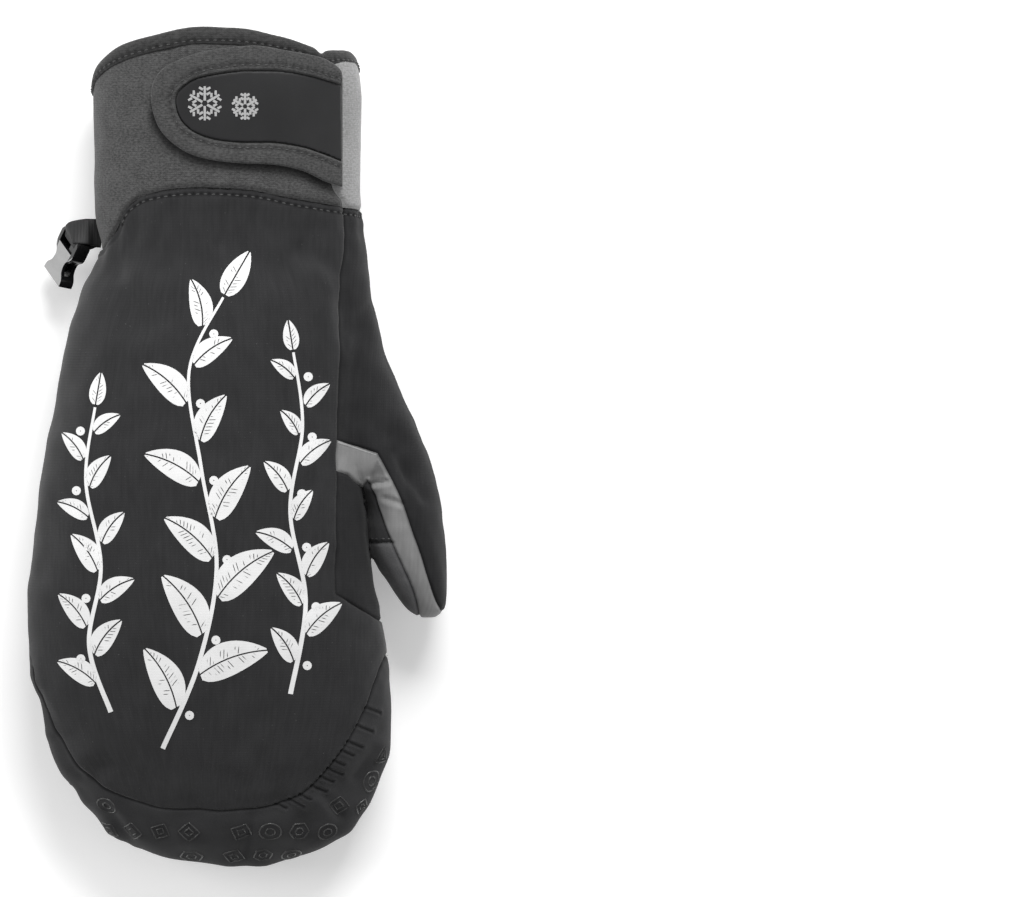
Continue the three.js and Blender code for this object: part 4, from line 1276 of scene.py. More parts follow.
def ribbon_outline(line, half_start, half_end):
    """A ribbon along a line seen from above."""
    line = np.asarray(line, float)
    edge = beside(line, 1.0) - line
    steps = np.linspace(0, 1, len(line))

    def outline(along, across):
        half = half_start + along * (half_end - half_start)
        x = np.interp(along, steps, line[:, 0] + (2 * across - 1) * half * edge[:, 0])
        y = np.interp(along, steps, line[:, 1] + (2 * across - 1) * half * edge[:, 1])
        return x, y, 0.0, 0.5

    return outline


def finished_ink(form):
    """The ink's thickness, from its upper face down into the cloth."""
    return with_modifier(mesh_of(form), "SOLIDIFY", thickness=INK_WALL, offset=-1.0)


print("ink stands", INK_PROUD, "mm proud")

# %% The leaf sprigs
SPRIGS = [  # stem points, leaf length, leaf width, spacing, first side
    ([(5, 50), (-6, 26), (-2, -6), (3, -38), (-3, -70), (-15, -98)], 21.5, 9.8, 12.8, 1),
    ([(-37, 14), (-40, -10), (-35, -38), (-39, -64), (-32, -86)], 14.0, 6.8, 9.6, -1),
    ([(28, 32), (31, 8), (27, -20), (32, -50), (27, -80)], 13.0, 6.4, 9.2, 1),
]
STEM_HALF = (0.42, 0.8)  # at its thin end and at its foot
LEAF_ANGLE = math.radians(46)
LEAF_OFF_STEM = 1.5
LEAF_BOW = 0.08
TIP_LEAF_SIZE = 0.8
BERRY = 1.5
BERRY_OFF_STEM, BERRY_UP = 3.4, 0.8
BERRY_DOT = 0.12  # the middle of a berry, as a share of it, that its grid starts from


def unit(angle):
    """A direction seen from above."""
    return np.array([math.cos(angle), math.sin(angle)])


def turned(way, angle):
    """A direction seen from above, turned to the left."""
    return np.array([way[0] * math.cos(angle) - way[1] * math.sin(angle),
                     way[0] * math.sin(angle) + way[1] * math.cos(angle)])


def berry_outline(centre):
    """A small disc, laid from its middle to its rim."""
    steps = np.linspace(0, 1, 13)
    rim = np.array([centre + BERRY * unit(angle) for angle in np.linspace(0, 2 * np.pi, 13)])

    def outline(along, across):
        on_rim = np.array([np.interp(along, steps, column) for column in rim.T])
        x, y = centre + (on_rim - centre) * (BERRY_DOT + (1 - BERRY_DOT) * across)
        return x, y, 0.0, 0.5

    return outline


def add_leaf(base, way, length, width, bow, shift):
    """Both halves of a leaf. Shift tells its pen strokes from those of the other leaves."""
    for half in (1, -1):
        outline = leaf_outline(base, way, length, width, half, bow)
        ink_patch(print_form, shell_surface, 14, 4, outline, shift + 3.0 * half)


print_form = new_ink()
leaves = 0
spread = np.random.default_rng(11)
for stem_points, long, wide, spacing, side in SPRIGS:
    stem = smooth_line(stem_points, 80)
    ink_patch(print_form, shell_surface, 90, 1, ribbon_outline(stem, *STEM_HALF))
    knots = even_line(stem, spacing)
    for index, knot in enumerate(knots[1:-1]):
        near_stem = np.argmin(np.linalg.norm(stem - knot, axis=1))
        way = stem[max(near_stem - 3, 0)] - stem[min(near_stem + 3, len(stem) - 1)]
        way /= np.linalg.norm(way)
        leaf_way = turned(way, side * LEAF_ANGLE * spread.uniform(0.85, 1.15))
        size = spread.uniform(0.9, 1.1) * (0.72 + 0.42 * min(1.0, 1.4 * (index + 1) / len(knots)))
        base = knot + LEAF_OFF_STEM * leaf_way
        add_leaf(base, leaf_way, long * size, wide * size, -LEAF_BOW * side, 7.0 * leaves)
        leaves += 1
        if index % 2 == 0:
            bud = knot - BERRY_OFF_STEM * side * np.array([-way[1], way[0]]) + BERRY_UP * way
            ink_patch(print_form, shell_surface, 12, 2, berry_outline(bud))
        side = -side
    tip_way = stem[0] - stem[4]
    tip_way /= np.linalg.norm(tip_way)
    add_leaf(stem[0] + 0.6 * tip_way, tip_way, TIP_LEAF_SIZE * long, TIP_LEAF_SIZE * wide, 0.0, 4.0)
back_print = finished_ink(print_form)
print("leaves:", leaves, "ink faces:", len(back_print.polygons))

# %% Snow crystals on the patch
CRYSTALS = [(-1.0, 113.6, 5.6), (12.2, 112.6, 4.4)]
ARM_STARTS = 0.16  # shares of the crystal's reach
BRANCHES_AT = (0.45, 0.74)
BRANCH_STARTS = 0.12
BRANCH_LENGTH = 0.26
CRYSTAL_HALF = (0.42, 0.36)  # half width of a bar at both ends

crystal_form = new_ink()
for x, y, reach in CRYSTALS:
    centre = np.array([x, y])
    for arm in range(6):
        turn = arm * math.pi / 3 + math.pi / 6
        bars = [(centre + ARM_STARTS * reach * unit(turn), centre + reach * unit(turn))]
        for share in BRANCHES_AT:
            for side in (1, -1):
                branch_way = unit(turn + side * math.pi / 3)
                root = centre + share * reach * unit(turn) + BRANCH_STARTS * reach * branch_way
                bars.append((root, root + BRANCH_LENGTH * reach * branch_way))
        for start, end in bars:
            bar = ribbon_outline(np.linspace(start, end, 6), *CRYSTAL_HALF)
            ink_patch(crystal_form, patch_surface, 6, 1, bar)
crystals = finished_ink(crystal_form)
print("snow crystals:", len(CRYSTALS), "faces:", len(crystals.polygons))

# %% [markdown]
# ## The painted highlight on the fold of the crotch patch
# Along its upper seam the light crotch patch is folded over, and the fold catches the light. That light is a
# painted highlight, laid on the patch as the print is: a lighter ribbon on a surface, given a thickness.

# %% The painted highlight on the fold
FOLDED_EDGE = ((42.5, 2.6), (54.9, -1.65))
FOLDED_HALF = (0.34, 0.08)  # half width at both ends
folded_form = new_ink()
folded_ribbon = ribbon_outline(np.linspace(*FOLDED_EDGE, 30), *FOLDED_HALF)
ink_patch(folded_form, surface_of(panels["thumb_strip"]), 40, 2, folded_ribbon)
fold_highlight = finished_ink(folded_form)
print("folded edge:", len(fold_highlight.polygons), "faces")

# %% [markdown]
# ## Rubber print on the palm side
# Raised silicone outlines give the palm, the fingertips and the thumb their grip. Here they are plain
# rings, triangles, diamonds and hexagons on a staggered grid. Each is a low ridge swept round its
# outline. Its points are taken to the nearest place on the cloth, so the ridge follows every fold.

# %% Grip shapes
GRIP_PITCH = 9.6
GRIP_RIDGE = 0.95  # width of a ridge
GRIP_PROUD = 0.35
GRIP_KEEP_LEVEL = 0.35  # no shape where the cloth stands steeper than this
GRIP_KEEP_OFF = 4.8  # from any seam
GRIP_ROUNDING = 0.18  # how far a shape with corners is drawn towards a ring
GRIP_SUNK = 0.2  # how far a ridge's edges lie in the cloth
GRIP_CORNERS = (0, 3, 4, 6, 0, 4)  # rings and shapes, as often as they are wanted
GRIP_RADIUS = (3.4, 4.4)
GRIP_ROW_STEP = 0.86 * GRIP_PITCH
RIM_SPOT, RIM_KEEP_OFF, RIM_BELOW_Z = (49.6, -9.1), 2.0, 10.0


def grip_ring(form, surface, centre, normal, turn, radius, corners):
    """A low ridge round a shape with a number of corners, or a ring, laid on the cloth."""
    across = normal.orthogonal().normalized()
    along = normal.cross(across)
    around = 20 if corners == 0 else 6 * corners
    before = set(form.verts)
    bmesh.ops.create_grid(form, x_segments=around, y_segments=3, size=0.5)
    made = [vertex for vertex in form.verts if vertex not in before]
    for vertex in made:
        angle = 2 * math.pi * (vertex.co.x + 0.5)
        station = round(3 * (vertex.co.y + 0.5)) % 3
        distance = radius
        if corners:
            sector = 2 * math.pi / corners
            local = (angle % sector) - sector / 2
            distance = radius * math.cos(sector / 2) / max(math.cos(local), 0.5)
            distance = (1 - GRIP_ROUNDING) * distance + GRIP_ROUNDING * radius
        distance += (0, -GRIP_RIDGE / 2, -GRIP_RIDGE)[station]
        height = (-GRIP_SUNK, GRIP_PROUD, -GRIP_SUNK)[station]
        flat = centre + distance * (math.cos(angle + turn) * across + math.sin(angle + turn) * along)
        spot, facing, _, _ = surface.find_nearest(flat)
        placed = spot + facing * height
        placed.z = max(placed.z, 0.03)
        vertex.co = placed
    bmesh.ops.remove_doubles(form, verts=made, dist=0.004)


def grip_print(surface, seam_tree, table, places, seed, keep):
    """Grip shapes on a staggered grid over one side of the hand or thumb."""
    form = bmesh.new()
    random = np.random.default_rng(seed)
    shapes = 0
    for row, place_y in enumerate(places):
        angles = np.linspace(0, 2 * np.pi, 361)
        ring = skin(table, place_at(table, place_y), angles, 0)
        lengths = np.concatenate([[0], np.cumsum(np.linalg.norm(np.diff(ring, axis=0), axis=1))])
        stops = np.arange((row % 2) * GRIP_PITCH / 2, lengths[-1] - GRIP_PITCH / 2, GRIP_PITCH)
        for stop in stops:
            spot = Vector([np.interp(stop, lengths, column) for column in ring.T])
            found, normal, _, _ = surface.find_nearest(spot, 2.5)
            radius = random.uniform(*GRIP_RADIUS)
            turn = random.uniform(0, 2 * np.pi)
            corners = GRIP_CORNERS[random.integers(6)]
            if found is None or not keep(found) or seam_tree.find(found)[2] < GRIP_KEEP_OFF:
                continue
            if abs(normal.z) < GRIP_KEEP_LEVEL or gather_tree.find(found)[2] < GRIP_KEEP_OFF:
                continue
            grip_ring(form, surface, found, normal, turn, radius, corners)
            grip_ring(form, surface, found, normal, turn, 0.5 * radius, corners)
            shapes += 1
    bmesh.ops.recalc_face_normals(form, faces=form.faces)
    print("grip shapes:", shapes, "faces:", len(form.faces))
    return mesh_of(form)


def on_palm(spot):
    """The palm's side of the hand and its wrap over the fingertips, off the thumb's root."""
    palm_side = spot.z < SIDE_SEAM_Z - 4 or spot.y < -70
    return palm_side and not (spot.x > 44 and spot.z > 4 and spot.y > -72)


def on_thumb(spot):
    """The thumb's palm side. No shape lies on the rim by the crotch, where rounding would choose the face."""
    beside_rim = math.hypot(spot.x - RIM_SPOT[0], spot.y - RIM_SPOT[1]) < RIM_KEEP_OFF
    return spot.z < 34 and not (beside_rim and spot.z < RIM_BELOW_Z)


palm_edge = np.vstack([
    even_line(on_skin_line(tip_seam, HAND), 1.0),
    even_line(wrist_line, 1.0),
    [(x, y, 3) for x, y in root_seam],
])
palm_edge_tree = tree_of(palm_edge)
thumb_edge_tree = tree_of([(x, y, 14.0) for x, y in root_seam])
palm_rows = np.arange(-134, 66, GRIP_ROW_STEP)
thumb_rows = np.arange(-26, 34, GRIP_ROW_STEP)
palm_grip = grip_print(palm_surface, palm_edge_tree, HAND, palm_rows, 5, on_palm)
thumb_grip = grip_print(thumb_palm_surface, thumb_edge_tree, THUMB, thumb_rows, 9, on_thumb)

# %% [markdown]
# ## Colours and nodes
# The photograph is black and white, so every colour here is a near grey. Colours are written as the
# sRGB hex values that one reads off a picture, and one function turns them to the linear values that
# Blender's shaders expect. One small function adds a node, sets it and links it. Short ones on top of it
# add the few kinds of node that every material uses.


# %% Helpers for materials
def linear(hex_colour):
    """An sRGB hex value as a linear colour."""
    values = [int(hex_colour[place:place + 2], 16) / 255 for place in (1, 3, 5)]
    return (*[v / 12.92 if v <= 0.04045 else ((v + 0.055) / 1.055) ** 2.4 for v in values], 1.0)


def add_node(material, kind, inputs=None, **settings):
    """A node with its settings. An input is given a value, or another node's output to link."""
    node = material.node_tree.nodes.new(kind)
    for name, value in settings.items():
        setattr(node, name, value)
    for key, value in (inputs or {}).items():
        if isinstance(value, bpy.types.NodeSocket):
            material.node_tree.links.new(value, node.inputs[key])
        else:
            node.inputs[key].default_value = value
    return node


def new_material(name, **values):
    """A material and its Principled shader, with what is the same all over the surface set on its sockets."""
    material = bpy.data.materials.new(name)
    material.use_nodes = True
    shader = next(node for node in material.node_tree.nodes if node.type == "BSDF_PRINCIPLED")
    for key, value in values.items():
        shader.inputs[key.replace("_", " ")].default_value = value
    return material, shader


def link(material, output, shader, name):
    """Links an output to a socket of the shader."""
    material.node_tree.links.new(output, shader.inputs[name])


def cloth_place(material):
    """Where a point lies on the cloth's own map, in mm."""
    return add_node(material, "ShaderNodeUVMap", uv_map="cloth").outputs[0]


def object_place(material):
    """Where a point lies in space, in metres."""
    return add_node(material, "ShaderNodeTexCoord").outputs["Object"]


def noise(material, place, scale, detail, **more):
    """The grey value of a noise texture."""
    inputs = {"Vector": place, "Scale": scale, "Detail": detail, **more}
    return add_node(material, "ShaderNodeTexNoise", inputs).outputs["Fac"]


def wave_scale(pitch):
    """The Wave texture's scale for a pattern that repeats at this pitch, in the units of its vector."""
    return 2 * math.pi / (20 * pitch)


def waves(material, place, pitch, direction, distortion=0.0, detail_scale=1.0):
    """The grey value of waves at a pitch, along X or Y of the place."""
    inputs = {"Vector": place, "Scale": wave_scale(pitch), "Distortion": distortion, "Detail": 1.0,
              "Detail Scale": detail_scale}
    return add_node(material, "ShaderNodeTexWave", inputs, bands_direction=direction).outputs["Fac"]


def calc(material, operation, *values):
    """One step of arithmetic on numbers or outputs."""
    return add_node(material, "ShaderNodeMath", dict(enumerate(values)), operation=operation).outputs[0]


def drawn_out(material, place, factors):
    """A place with its axes scaled, which draws a texture out along the axis with the smallest factor."""
    return add_node(material, "ShaderNodeVectorMath", {0: place, 1: factors}, operation="MULTIPLY").outputs[0]


def mapped(material, value, low, high, to_low=0.0, to_high=1.0):
    """A value taken from one range to another and held inside it."""
    inputs = {"Value": value, "From Min": low, "From Max": high, "To Min": to_low, "To Max": to_high}
    return add_node(material, "ShaderNodeMapRange", inputs).outputs[0]


def blend(material, share, first, second):
    """A colour between two, each given as a hex value or as another node's output."""
    ends = [linear(colour) if isinstance(colour, str) else colour for colour in (first, second)]
    mix = add_node(material, "ShaderNodeMix", {0: share, 6: ends[0], 7: ends[1]}, data_type="RGBA")
    return mix.outputs[2]


def set_relief(material, shader, height, depth, strength=0.5):
    """Fine relief from a grey value, with its depth in mm."""
    inputs = {"Height": height, "Distance": depth * MM, "Strength": strength}
    relief = add_node(material, "ShaderNodeBump", inputs)
    link(material, relief.outputs[0], shader, "Normal")


print("black cloth #2f2f30 is", [round(v, 4) for v in linear("#2f2f30")[:3]], "in linear values")
print("a 0.9 mm thread pitch is a wave scale of", round(wave_scale(0.9), 3))

# %% [markdown]
# ## Cloth materials
# A weave follows the cloth, not the space around it. So each cloth piece gets a UV map in millimetres,
# and its threads are waves on that map. A thread of the real face fabric is 0.3 mm wide, which one pixel
# of the photograph can't show, so threads are drawn two to three times as coarse.

# %% The cloth's map
SIDE_SOFTNESS = 25  # mm over which the map turns from the top of the form to its side
TIP_STARTS_Y = -100
THUMB_MIDDLE_X = 60.0
CUFF_MIDDLE_X = 5.0


def set_map(mesh, places):
    """Writes a map that has one place for each vertex."""
    corners = np.zeros(len(mesh.loops), int)
    mesh.loops.foreach_get("vertex_index", corners)
    layer = mesh.uv_layers.new(name="cloth")
    layer.data.foreach_set("uv", places[corners].ravel())
    return mesh


def cloth_map(mesh, middle_x=0.0):
    """A UV map in mm. Down the sides the cloth goes on by the height that it has dropped."""
    points = points_of(mesh)
    drop = np.clip(points[:, 2].max() - points[:, 2], 0, None)
    side = np.clip((points[:, 0] - middle_x) / SIDE_SOFTNESS, -1, 1)
    tip = ramp(points[:, 1], TIP_STARTS_Y, TIP_STARTS_Y - SIDE_SOFTNESS)
    return set_map(mesh, np.column_stack([points[:, 0] + side * drop, points[:, 1] - tip * drop]))


# %% Woven cloth
PAINTED_SHADE_DARK = 0.65  # how far full painted shade takes the colour towards the darkest grey
LINT_COLOUR = "#6c6c6c"


def finish_cloth(material, shader, colour, height, depth, strength):
    """The cloth's colour, darkened by the painted shade stored at seams, stitch rows, pleats and edges, and
    its threads' relief.
    """
    painted_shade = add_node(material, "ShaderNodeAttribute", attribute_name="painted_shade").outputs["Fac"]
    darkened = blend(material, calc(material, "MULTIPLY", painted_shade, PAINTED_SHADE_DARK), colour, "#0b0b0c")
    link(material, darkened, shader, "Base Color")
    set_relief(material, shader, height, depth, strength)
    return material


def woven_cloth(name, dark, light, pitch, depth, flecks=0.0, **values):
    """Plain woven cloth: warp and weft, a slow unevenness of the dye, and a few light flecks of lint."""
    material, shader = new_material(name, **values)
    uv = cloth_place(material)
    warp = waves(material, uv, pitch, "X", distortion=0.6, detail_scale=0.4)
    weft = waves(material, uv, pitch, "Y", distortion=0.6, detail_scale=0.4)
    weave = calc(material, "MULTIPLY", warp, weft)
    slow = noise(material, uv, scale=0.09, detail=4.0)
    streak = noise(material, drawn_out(material, uv, (1.0, 0.12, 1.0)), scale=0.7, detail=3.0)
    dye = mapped(material, calc(material, "ADD", slow, streak), 0.75, 1.25, 0.15, 0.75)
    colour = blend(material, calc(material, "MULTIPLY_ADD", weave, 0.14, dye), dark, light)
    if flecks:
        spots = noise(material, uv, scale=1.1, detail=2.0)
        lint = mapped(material, spots, 0.72 - flecks, 0.78 - flecks, 0.0, 0.35)
        colour = blend(material, lint, colour, LINT_COLOUR)
    return finish_cloth(material, shader, colour, weave, depth, 0.6)


# Softshell: a dense polyester weave with a dull face, which picks up grey light at glancing angles.
softshell = woven_cloth("softshell_woven_polyester", "#232324", "#2e2e2f", 0.9, 0.07, flecks=0.005,
                        Roughness=0.82, Sheen_Weight=0.12, Sheen_Roughness=0.5, Specular_IOR_Level=0.14)
# Painted shade: a darker copy of the same softshell for the thumb's outer panel and the side panel.
softshell_shaded_copy = woven_cloth("softshell_woven_polyester_shaded_copy", "#1f1f20", "#2a2a2b", 0.9, 0.07,
                             Roughness=0.84, Sheen_Weight=0.05, Sheen_Roughness=0.5, Specular_IOR_Level=0.12)
# Contrast panel: undyed light grey nylon, woven a little finer, with its threads as a faint grain.
contrast_nylon = woven_cloth("contrast_woven_nylon", "#6e6e6e", "#848484", 0.7, 0.04,
                             Roughness=0.7, Sheen_Weight=0.15, Specular_IOR_Level=0.35)
# Painted highlight on the fold: the same nylon, drawn lighter and glossier where the fold catches the light.
fold_highlight_nylon = woven_cloth("nylon_fold_painted_highlight", "#808080", "#989898", 0.7, 0.04,
                           Roughness=0.6, Sheen_Weight=0.15, Specular_IOR_Level=0.4)
print("woven cloths:", softshell.name, "and", contrast_nylon.name)


# %% Knitted cloth
def knitted_cloth(name, dark, light, pitch, depth, fleck_size, **values):
    """Heathered knit: rows of small loops, with flecks where light and dark yarns come to the face."""
    material, shader = new_material(name, **values)
    uv = cloth_place(material)
    rows = waves(material, uv, pitch, "X", distortion=1.2, detail_scale=0.6)
    loops = waves(material, uv, 0.8 * pitch, "Y", distortion=1.2, detail_scale=0.6)
    knit = calc(material, "MULTIPLY", rows, loops)
    flecks = noise(material, drawn_out(material, uv, (0.45, 1.0, 1.0)), 1 / fleck_size, 3.0, Roughness=0.6)
    cloud = noise(material, uv, scale=0.16, detail=3.0)
    yarn = mapped(material, calc(material, "MULTIPLY_ADD", cloud, 0.25, flecks), 0.48, 0.78, 0.0, 0.85)
    colour = blend(material, calc(material, "MULTIPLY_ADD", knit, 0.2, yarn), dark, light)
    return finish_cloth(material, shader, colour, knit, depth, 0.6)


# Cuff: heather jersey bonded to foam, with a fuzzy face that glows at its outline.
cuff_knit = knitted_cloth("cuff_heather_jersey", "#353535", "#565656", 0.8, 0.12, 0.6,
                          Roughness=0.9, Sheen_Weight=0.18, Sheen_Roughness=0.45, Specular_IOR_Level=0.15)
# Gusset: the same knit with elastane in light grey.
gusset_knit = knitted_cloth("gusset_stretch_jersey", "#787878", "#989898", 0.8, 0.12, 0.7,
                            Roughness=0.88, Sheen_Weight=0.2, Specular_IOR_Level=0.3)
# Binding: a narrow rib knit, folded over the edge.
binding_knit = knitted_cloth("binding_rib_knit", "#2b2b2b", "#404040", 0.9, 0.14, 0.9,
                             Roughness=0.9, Sheen_Weight=0.15, Sheen_Roughness=0.45, Specular_IOR_Level=0.15)
# Strap: a finer knit over foam, darker than the cuff.
strap_knit = knitted_cloth("strap_foam_knit", "#333333", "#505050", 0.75, 0.1, 0.55,
                           Roughness=0.88, Sheen_Weight=0.15, Sheen_Roughness=0.45, Specular_IOR_Level=0.15)
print("knits:", cuff_knit.name, gusset_knit.name, binding_knit.name, strap_knit.name)


# %% Cloth with a nap
def napped_cloth(name, dark, light, grain, depth, **values):
    """Suede or fleece: fine fibres without threads, brushed into soft patches."""
    material, shader = new_material(name, **values)
    uv = cloth_place(material)
    fibres = noise(material, uv, scale=1 / grain, detail=4.0)
    patches = noise(material, uv, scale=0.07, detail=2.0)
    tone = mapped(material, calc(material, "ADD", fibres, patches), 0.7, 1.3)
    return finish_cloth(material, shader, blend(material, tone, dark, light), fibres, depth, 0.5)


# Palm: synthetic suede, a brushed microfibre that is duller and darker than the shell.
palm_suede = napped_cloth("palm_microfibre_suede", "#252526", "#333334", 0.5, 0.1,
                          Roughness=0.93, Sheen_Weight=0.08, Sheen_Roughness=0.6, Specular_IOR_Level=0.1)
# Thumb tip: a dark grey brushed twill, lighter than the palm's suede.
tip_twill = napped_cloth("thumb_tip_brushed_twill", "#525253", "#676768", 0.45, 0.08,
                         Roughness=0.9, Sheen_Weight=0.08, Specular_IOR_Level=0.15)
# Lining: brushed fleece.
fleece = napped_cloth("lining_brushed_fleece", "#1f1f20", "#38383a", 1.4, 0.6,
                      Roughness=0.98, Sheen_Weight=0.4, Sheen_Roughness=0.6, Specular_IOR_Level=0.1)
# Patch: coated knit like a thin synthetic leather, smooth, with a satin face and a fine pebble.
patch_coated = napped_cloth("patch_coated_polyurethane", "#1a1a1b", "#212122", 0.45, 0.03,
                            Roughness=0.5, Specular_IOR_Level=0.3)
print("napped cloths:", palm_suede.name, fleece.name, patch_coated.name)

# %% Webbing
# Polyester webbing, woven with ribs across its width, which give it a row of small soft highlights.
RIB_PITCH = 1.0
webbing_cloth, webbing_shader = new_material("webbing_woven_polyester", Roughness=0.6,
                                             Specular_IOR_Level=0.45)
ribs = waves(webbing_cloth, cloth_place(webbing_cloth), RIB_PITCH, "Y", distortion=0.3)
link(webbing_cloth, blend(webbing_cloth, ribs, "#121213", "#19191a"), webbing_shader, "Base Color")
set_relief(webbing_cloth, webbing_shader, ribs, 0.08)
print("webbing ribs:", RIB_PITCH, "mm apart")


# %% Moulded plastic
def moulded_plastic(name, tone, grain, depth, **values):
    """Injection-moulded acetal with the mould's fine grain and a few handling marks in its gloss."""
    material, shader = new_material(name, **values)
    place = object_place(material)
    fine = noise(material, place, scale=1 / (grain * MM), detail=3.0)
    marks = noise(material, place, scale=260.0, detail=4.0)
    gloss = mapped(material, marks, 0.35, 0.65, 0.8 * values["Roughness"], 1.25 * values["Roughness"])
    link(material, blend(material, fine, *tone), shader, "Base Color")
    link(material, gloss, shader, "Roughness")
    set_relief(material, shader, fine, depth)
    return material


# One acetal moulding drawn as a lit and a shaded copy: the faces near the mouth grey and satin as painted
# light, the sides and inside black and glossy as painted shade.
buckle_lit_copy = moulded_plastic("acetal_lit_copy_satin_grey", ("#858585", "#9a9a9a"), 0.35, 0.03,
                              Roughness=0.4, IOR=1.48)
buckle_shaded_copy = moulded_plastic("acetal_shaded_copy_gloss_black", ("#0b0b0c", "#131314"), 0.6, 0.01,
                               Roughness=0.12, IOR=1.48)
print("buckle finishes:", buckle_lit_copy.name, "and", buckle_shaded_copy.name)

# %% Thread, ink and rubber
# Bonded polyester thread: fine, a little glossy, dark grey on the black cloth.
thread, thread_shader = new_material("bonded_polyester_thread", Roughness=0.5, Specular_IOR_Level=0.4)
ply = noise(thread, object_place(thread), scale=1800.0, detail=2.0)
link(thread, blend(thread, ply, "#2c2c2c", "#4a4a4a"), thread_shader, "Base Color")
INK_WEAVE = 0.9  # pitch in mm of the weave that tells through the ink
STROKE_PITCH = 1.25  # mm between the pen strokes on a leaf
STROKE_SLOPE = -2.2


def ink_material(name, pale, deep, strokes, **values):
    """Plastisol screen ink: opaque and rubbery, with the cloth's weave just telling through it."""
    material, shader = new_material(name, **values)
    place = object_place(material)
    colour = blend(material, noise(material, place, scale=240.0, detail=4.0), deep, pale)
    if strokes:
        drawn = add_node(material, "ShaderNodeAttribute", attribute_name="ink").outputs["Vector"]
        parts = add_node(material, "ShaderNodeSeparateXYZ", {0: drawn})
        lean = calc(material, "MULTIPLY_ADD", parts.outputs[1], STROKE_SLOPE, parts.outputs[0])
        vein = add_node(material, "ShaderNodeCombineXYZ", {0: lean}).outputs[0]
        # A stroke is thin, stands in some patches only, and in the half of the leaf beside its vein.
        stroke = mapped(material, waves(material, vein, STROKE_PITCH, "X", distortion=0.5), 0.84, 0.95)
        for limit in (
            mapped(material, noise(material, drawn, scale=0.42, detail=1.0), 0.5, 0.56),
            mapped(material, parts.outputs[1], 0.02, 0.12),
            mapped(material, parts.outputs[1], 0.5, 0.62, 1.0, 0.0),
        ):
            stroke = calc(material, "MULTIPLY", stroke, limit)
        colour = blend(material, stroke, colour, "#1c1c1d")
    link(material, colour, shader, "Base Color")
    warp = waves(material, place, INK_WEAVE * MM, "X")
    weft = waves(material, place, INK_WEAVE * MM, "Y")
    set_relief(material, shader, calc(material, "MULTIPLY", warp, weft), 0.03)
    return material


white_ink = ink_material("plastisol_ink_white", "#e6e6e6", "#d6d6d6", True,
                         Roughness=0.55, Specular_IOR_Level=0.35)
grey_ink = ink_material("plastisol_ink_grey", "#a9a9a9", "#989898", False,
                        Roughness=0.5, Specular_IOR_Level=0.4)
# Silicone: smoky dark grey and smooth from the mould, so its ridges draw thin bright lines.
silicone, silicone_shader = new_material("printed_silicone_smoke", Roughness=0.16, IOR=1.47)
smear = noise(silicone, object_place(silicone), scale=320.0, detail=3.0)
link(silicone, blend(silicone, smear, "#202020", "#484848"), silicone_shader, "Base Color")
link(silicone, mapped(silicone, smear, 0.3, 0.7, 0.08, 0.26), silicone_shader, "Roughness")
print("inks:", white_ink.name, grey_ink.name, silicone.name)

# %% [markdown]
# ## Finishing a piece
# Each finished piece is scaled from millimetres to metres in its mesh and gets its material. It rides on
# the mitten's one body and replaces its plain CAD solid.


# %% Finish the cloth pieces
def finish_piece(name, mesh, materials, nodes=(), sharp=50.0):
    """Turns a mesh in mm into a finished piece of the mitten."""
    mesh.materials.clear()
    for material in materials:
        mesh.materials.append(material)
    mesh.transform(Matrix.Scale(MM, 4))
    mesh.shade_smooth()
    mesh.set_sharp_from_angle(angle=math.radians(sharp))
    mesh.name = name
    piece = bpy.data.objects.new(name, mesh)
    bpy.context.scene.collection.objects.link(piece)
    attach(piece, "root")
    if nodes:
        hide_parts(*nodes)
    return piece


PANEL_FINISH = {
    "back_shell": (softshell, "shell_fabric"),
    "side_panel": (softshell_shaded_copy, "shell_fabric"),
    "thumb_outer": (softshell_shaded_copy, "shell_fabric"),
    "thumb_strip": (contrast_nylon, "contrast_fabric"),
    "thumb_palm": (palm_suede, "palm_fabric"),
    "palm_shell": (palm_suede, "palm_fabric"),
}
CUFF_FILL = 0.6
GUSSET_FILL = 0.5

pieces = {}
for name, mesh in panels.items():
    material, slot = PANEL_FINISH[name]
    cloth_map(mesh, THUMB_MIDDLE_X if name.startswith("thumb") else 0.0)
    pieces[name] = finish_piece(f"{name}_cloth", mesh, [material], [name])
pieces["lining"] = finish_piece("lining_cloth", cloth_map(lining), [fleece])
for key, mesh, material, slot, node, fill in (
    ("cuff", cuff, cuff_knit, "cuff_knit", "cuff", CUFF_FILL),
    ("gusset", gusset, gusset_knit, "gusset_knit", "cuff_gusset", GUSSET_FILL),
    *[(key, mesh, binding_knit, "binding_fabric", key, CUFF_FILL) for key, mesh in bindings.items()],
    ("strap", strap, strap_knit, "strap_fabric", "closure_strap", CUFF_FILL),
    ("patch", patch, patch_coated, "patch_fabric", "strap_patch", None),
):
    cloth_map(mesh, CUFF_MIDDLE_X)
    pieces[key] = finish_piece(f"{key}_cloth", mesh, [material], [node])
tip_cloth = pieces["thumb_palm"].data
tip_cloth.materials.append(tip_twill)
for polygon in tip_cloth.polygons:
    polygon.material_index = int(polygon.center.y < HEM_Y * MM)
print("cloth pieces:", len(pieces))


# %% Finish the webbing and the buckle
def webbing_map(mesh):
    """A map across and along the webbing, in mm, from the nearest point of its route."""
    along = np.concatenate([[0], np.cumsum(np.linalg.norm(np.diff(webbing_line, axis=0), axis=1))])
    route = tree_of(webbing_line)
    spots = [route.find(point) for point in points_of(mesh)]
    return set_map(mesh, np.array([(distance, along[index]) for _, index, distance in spots]))


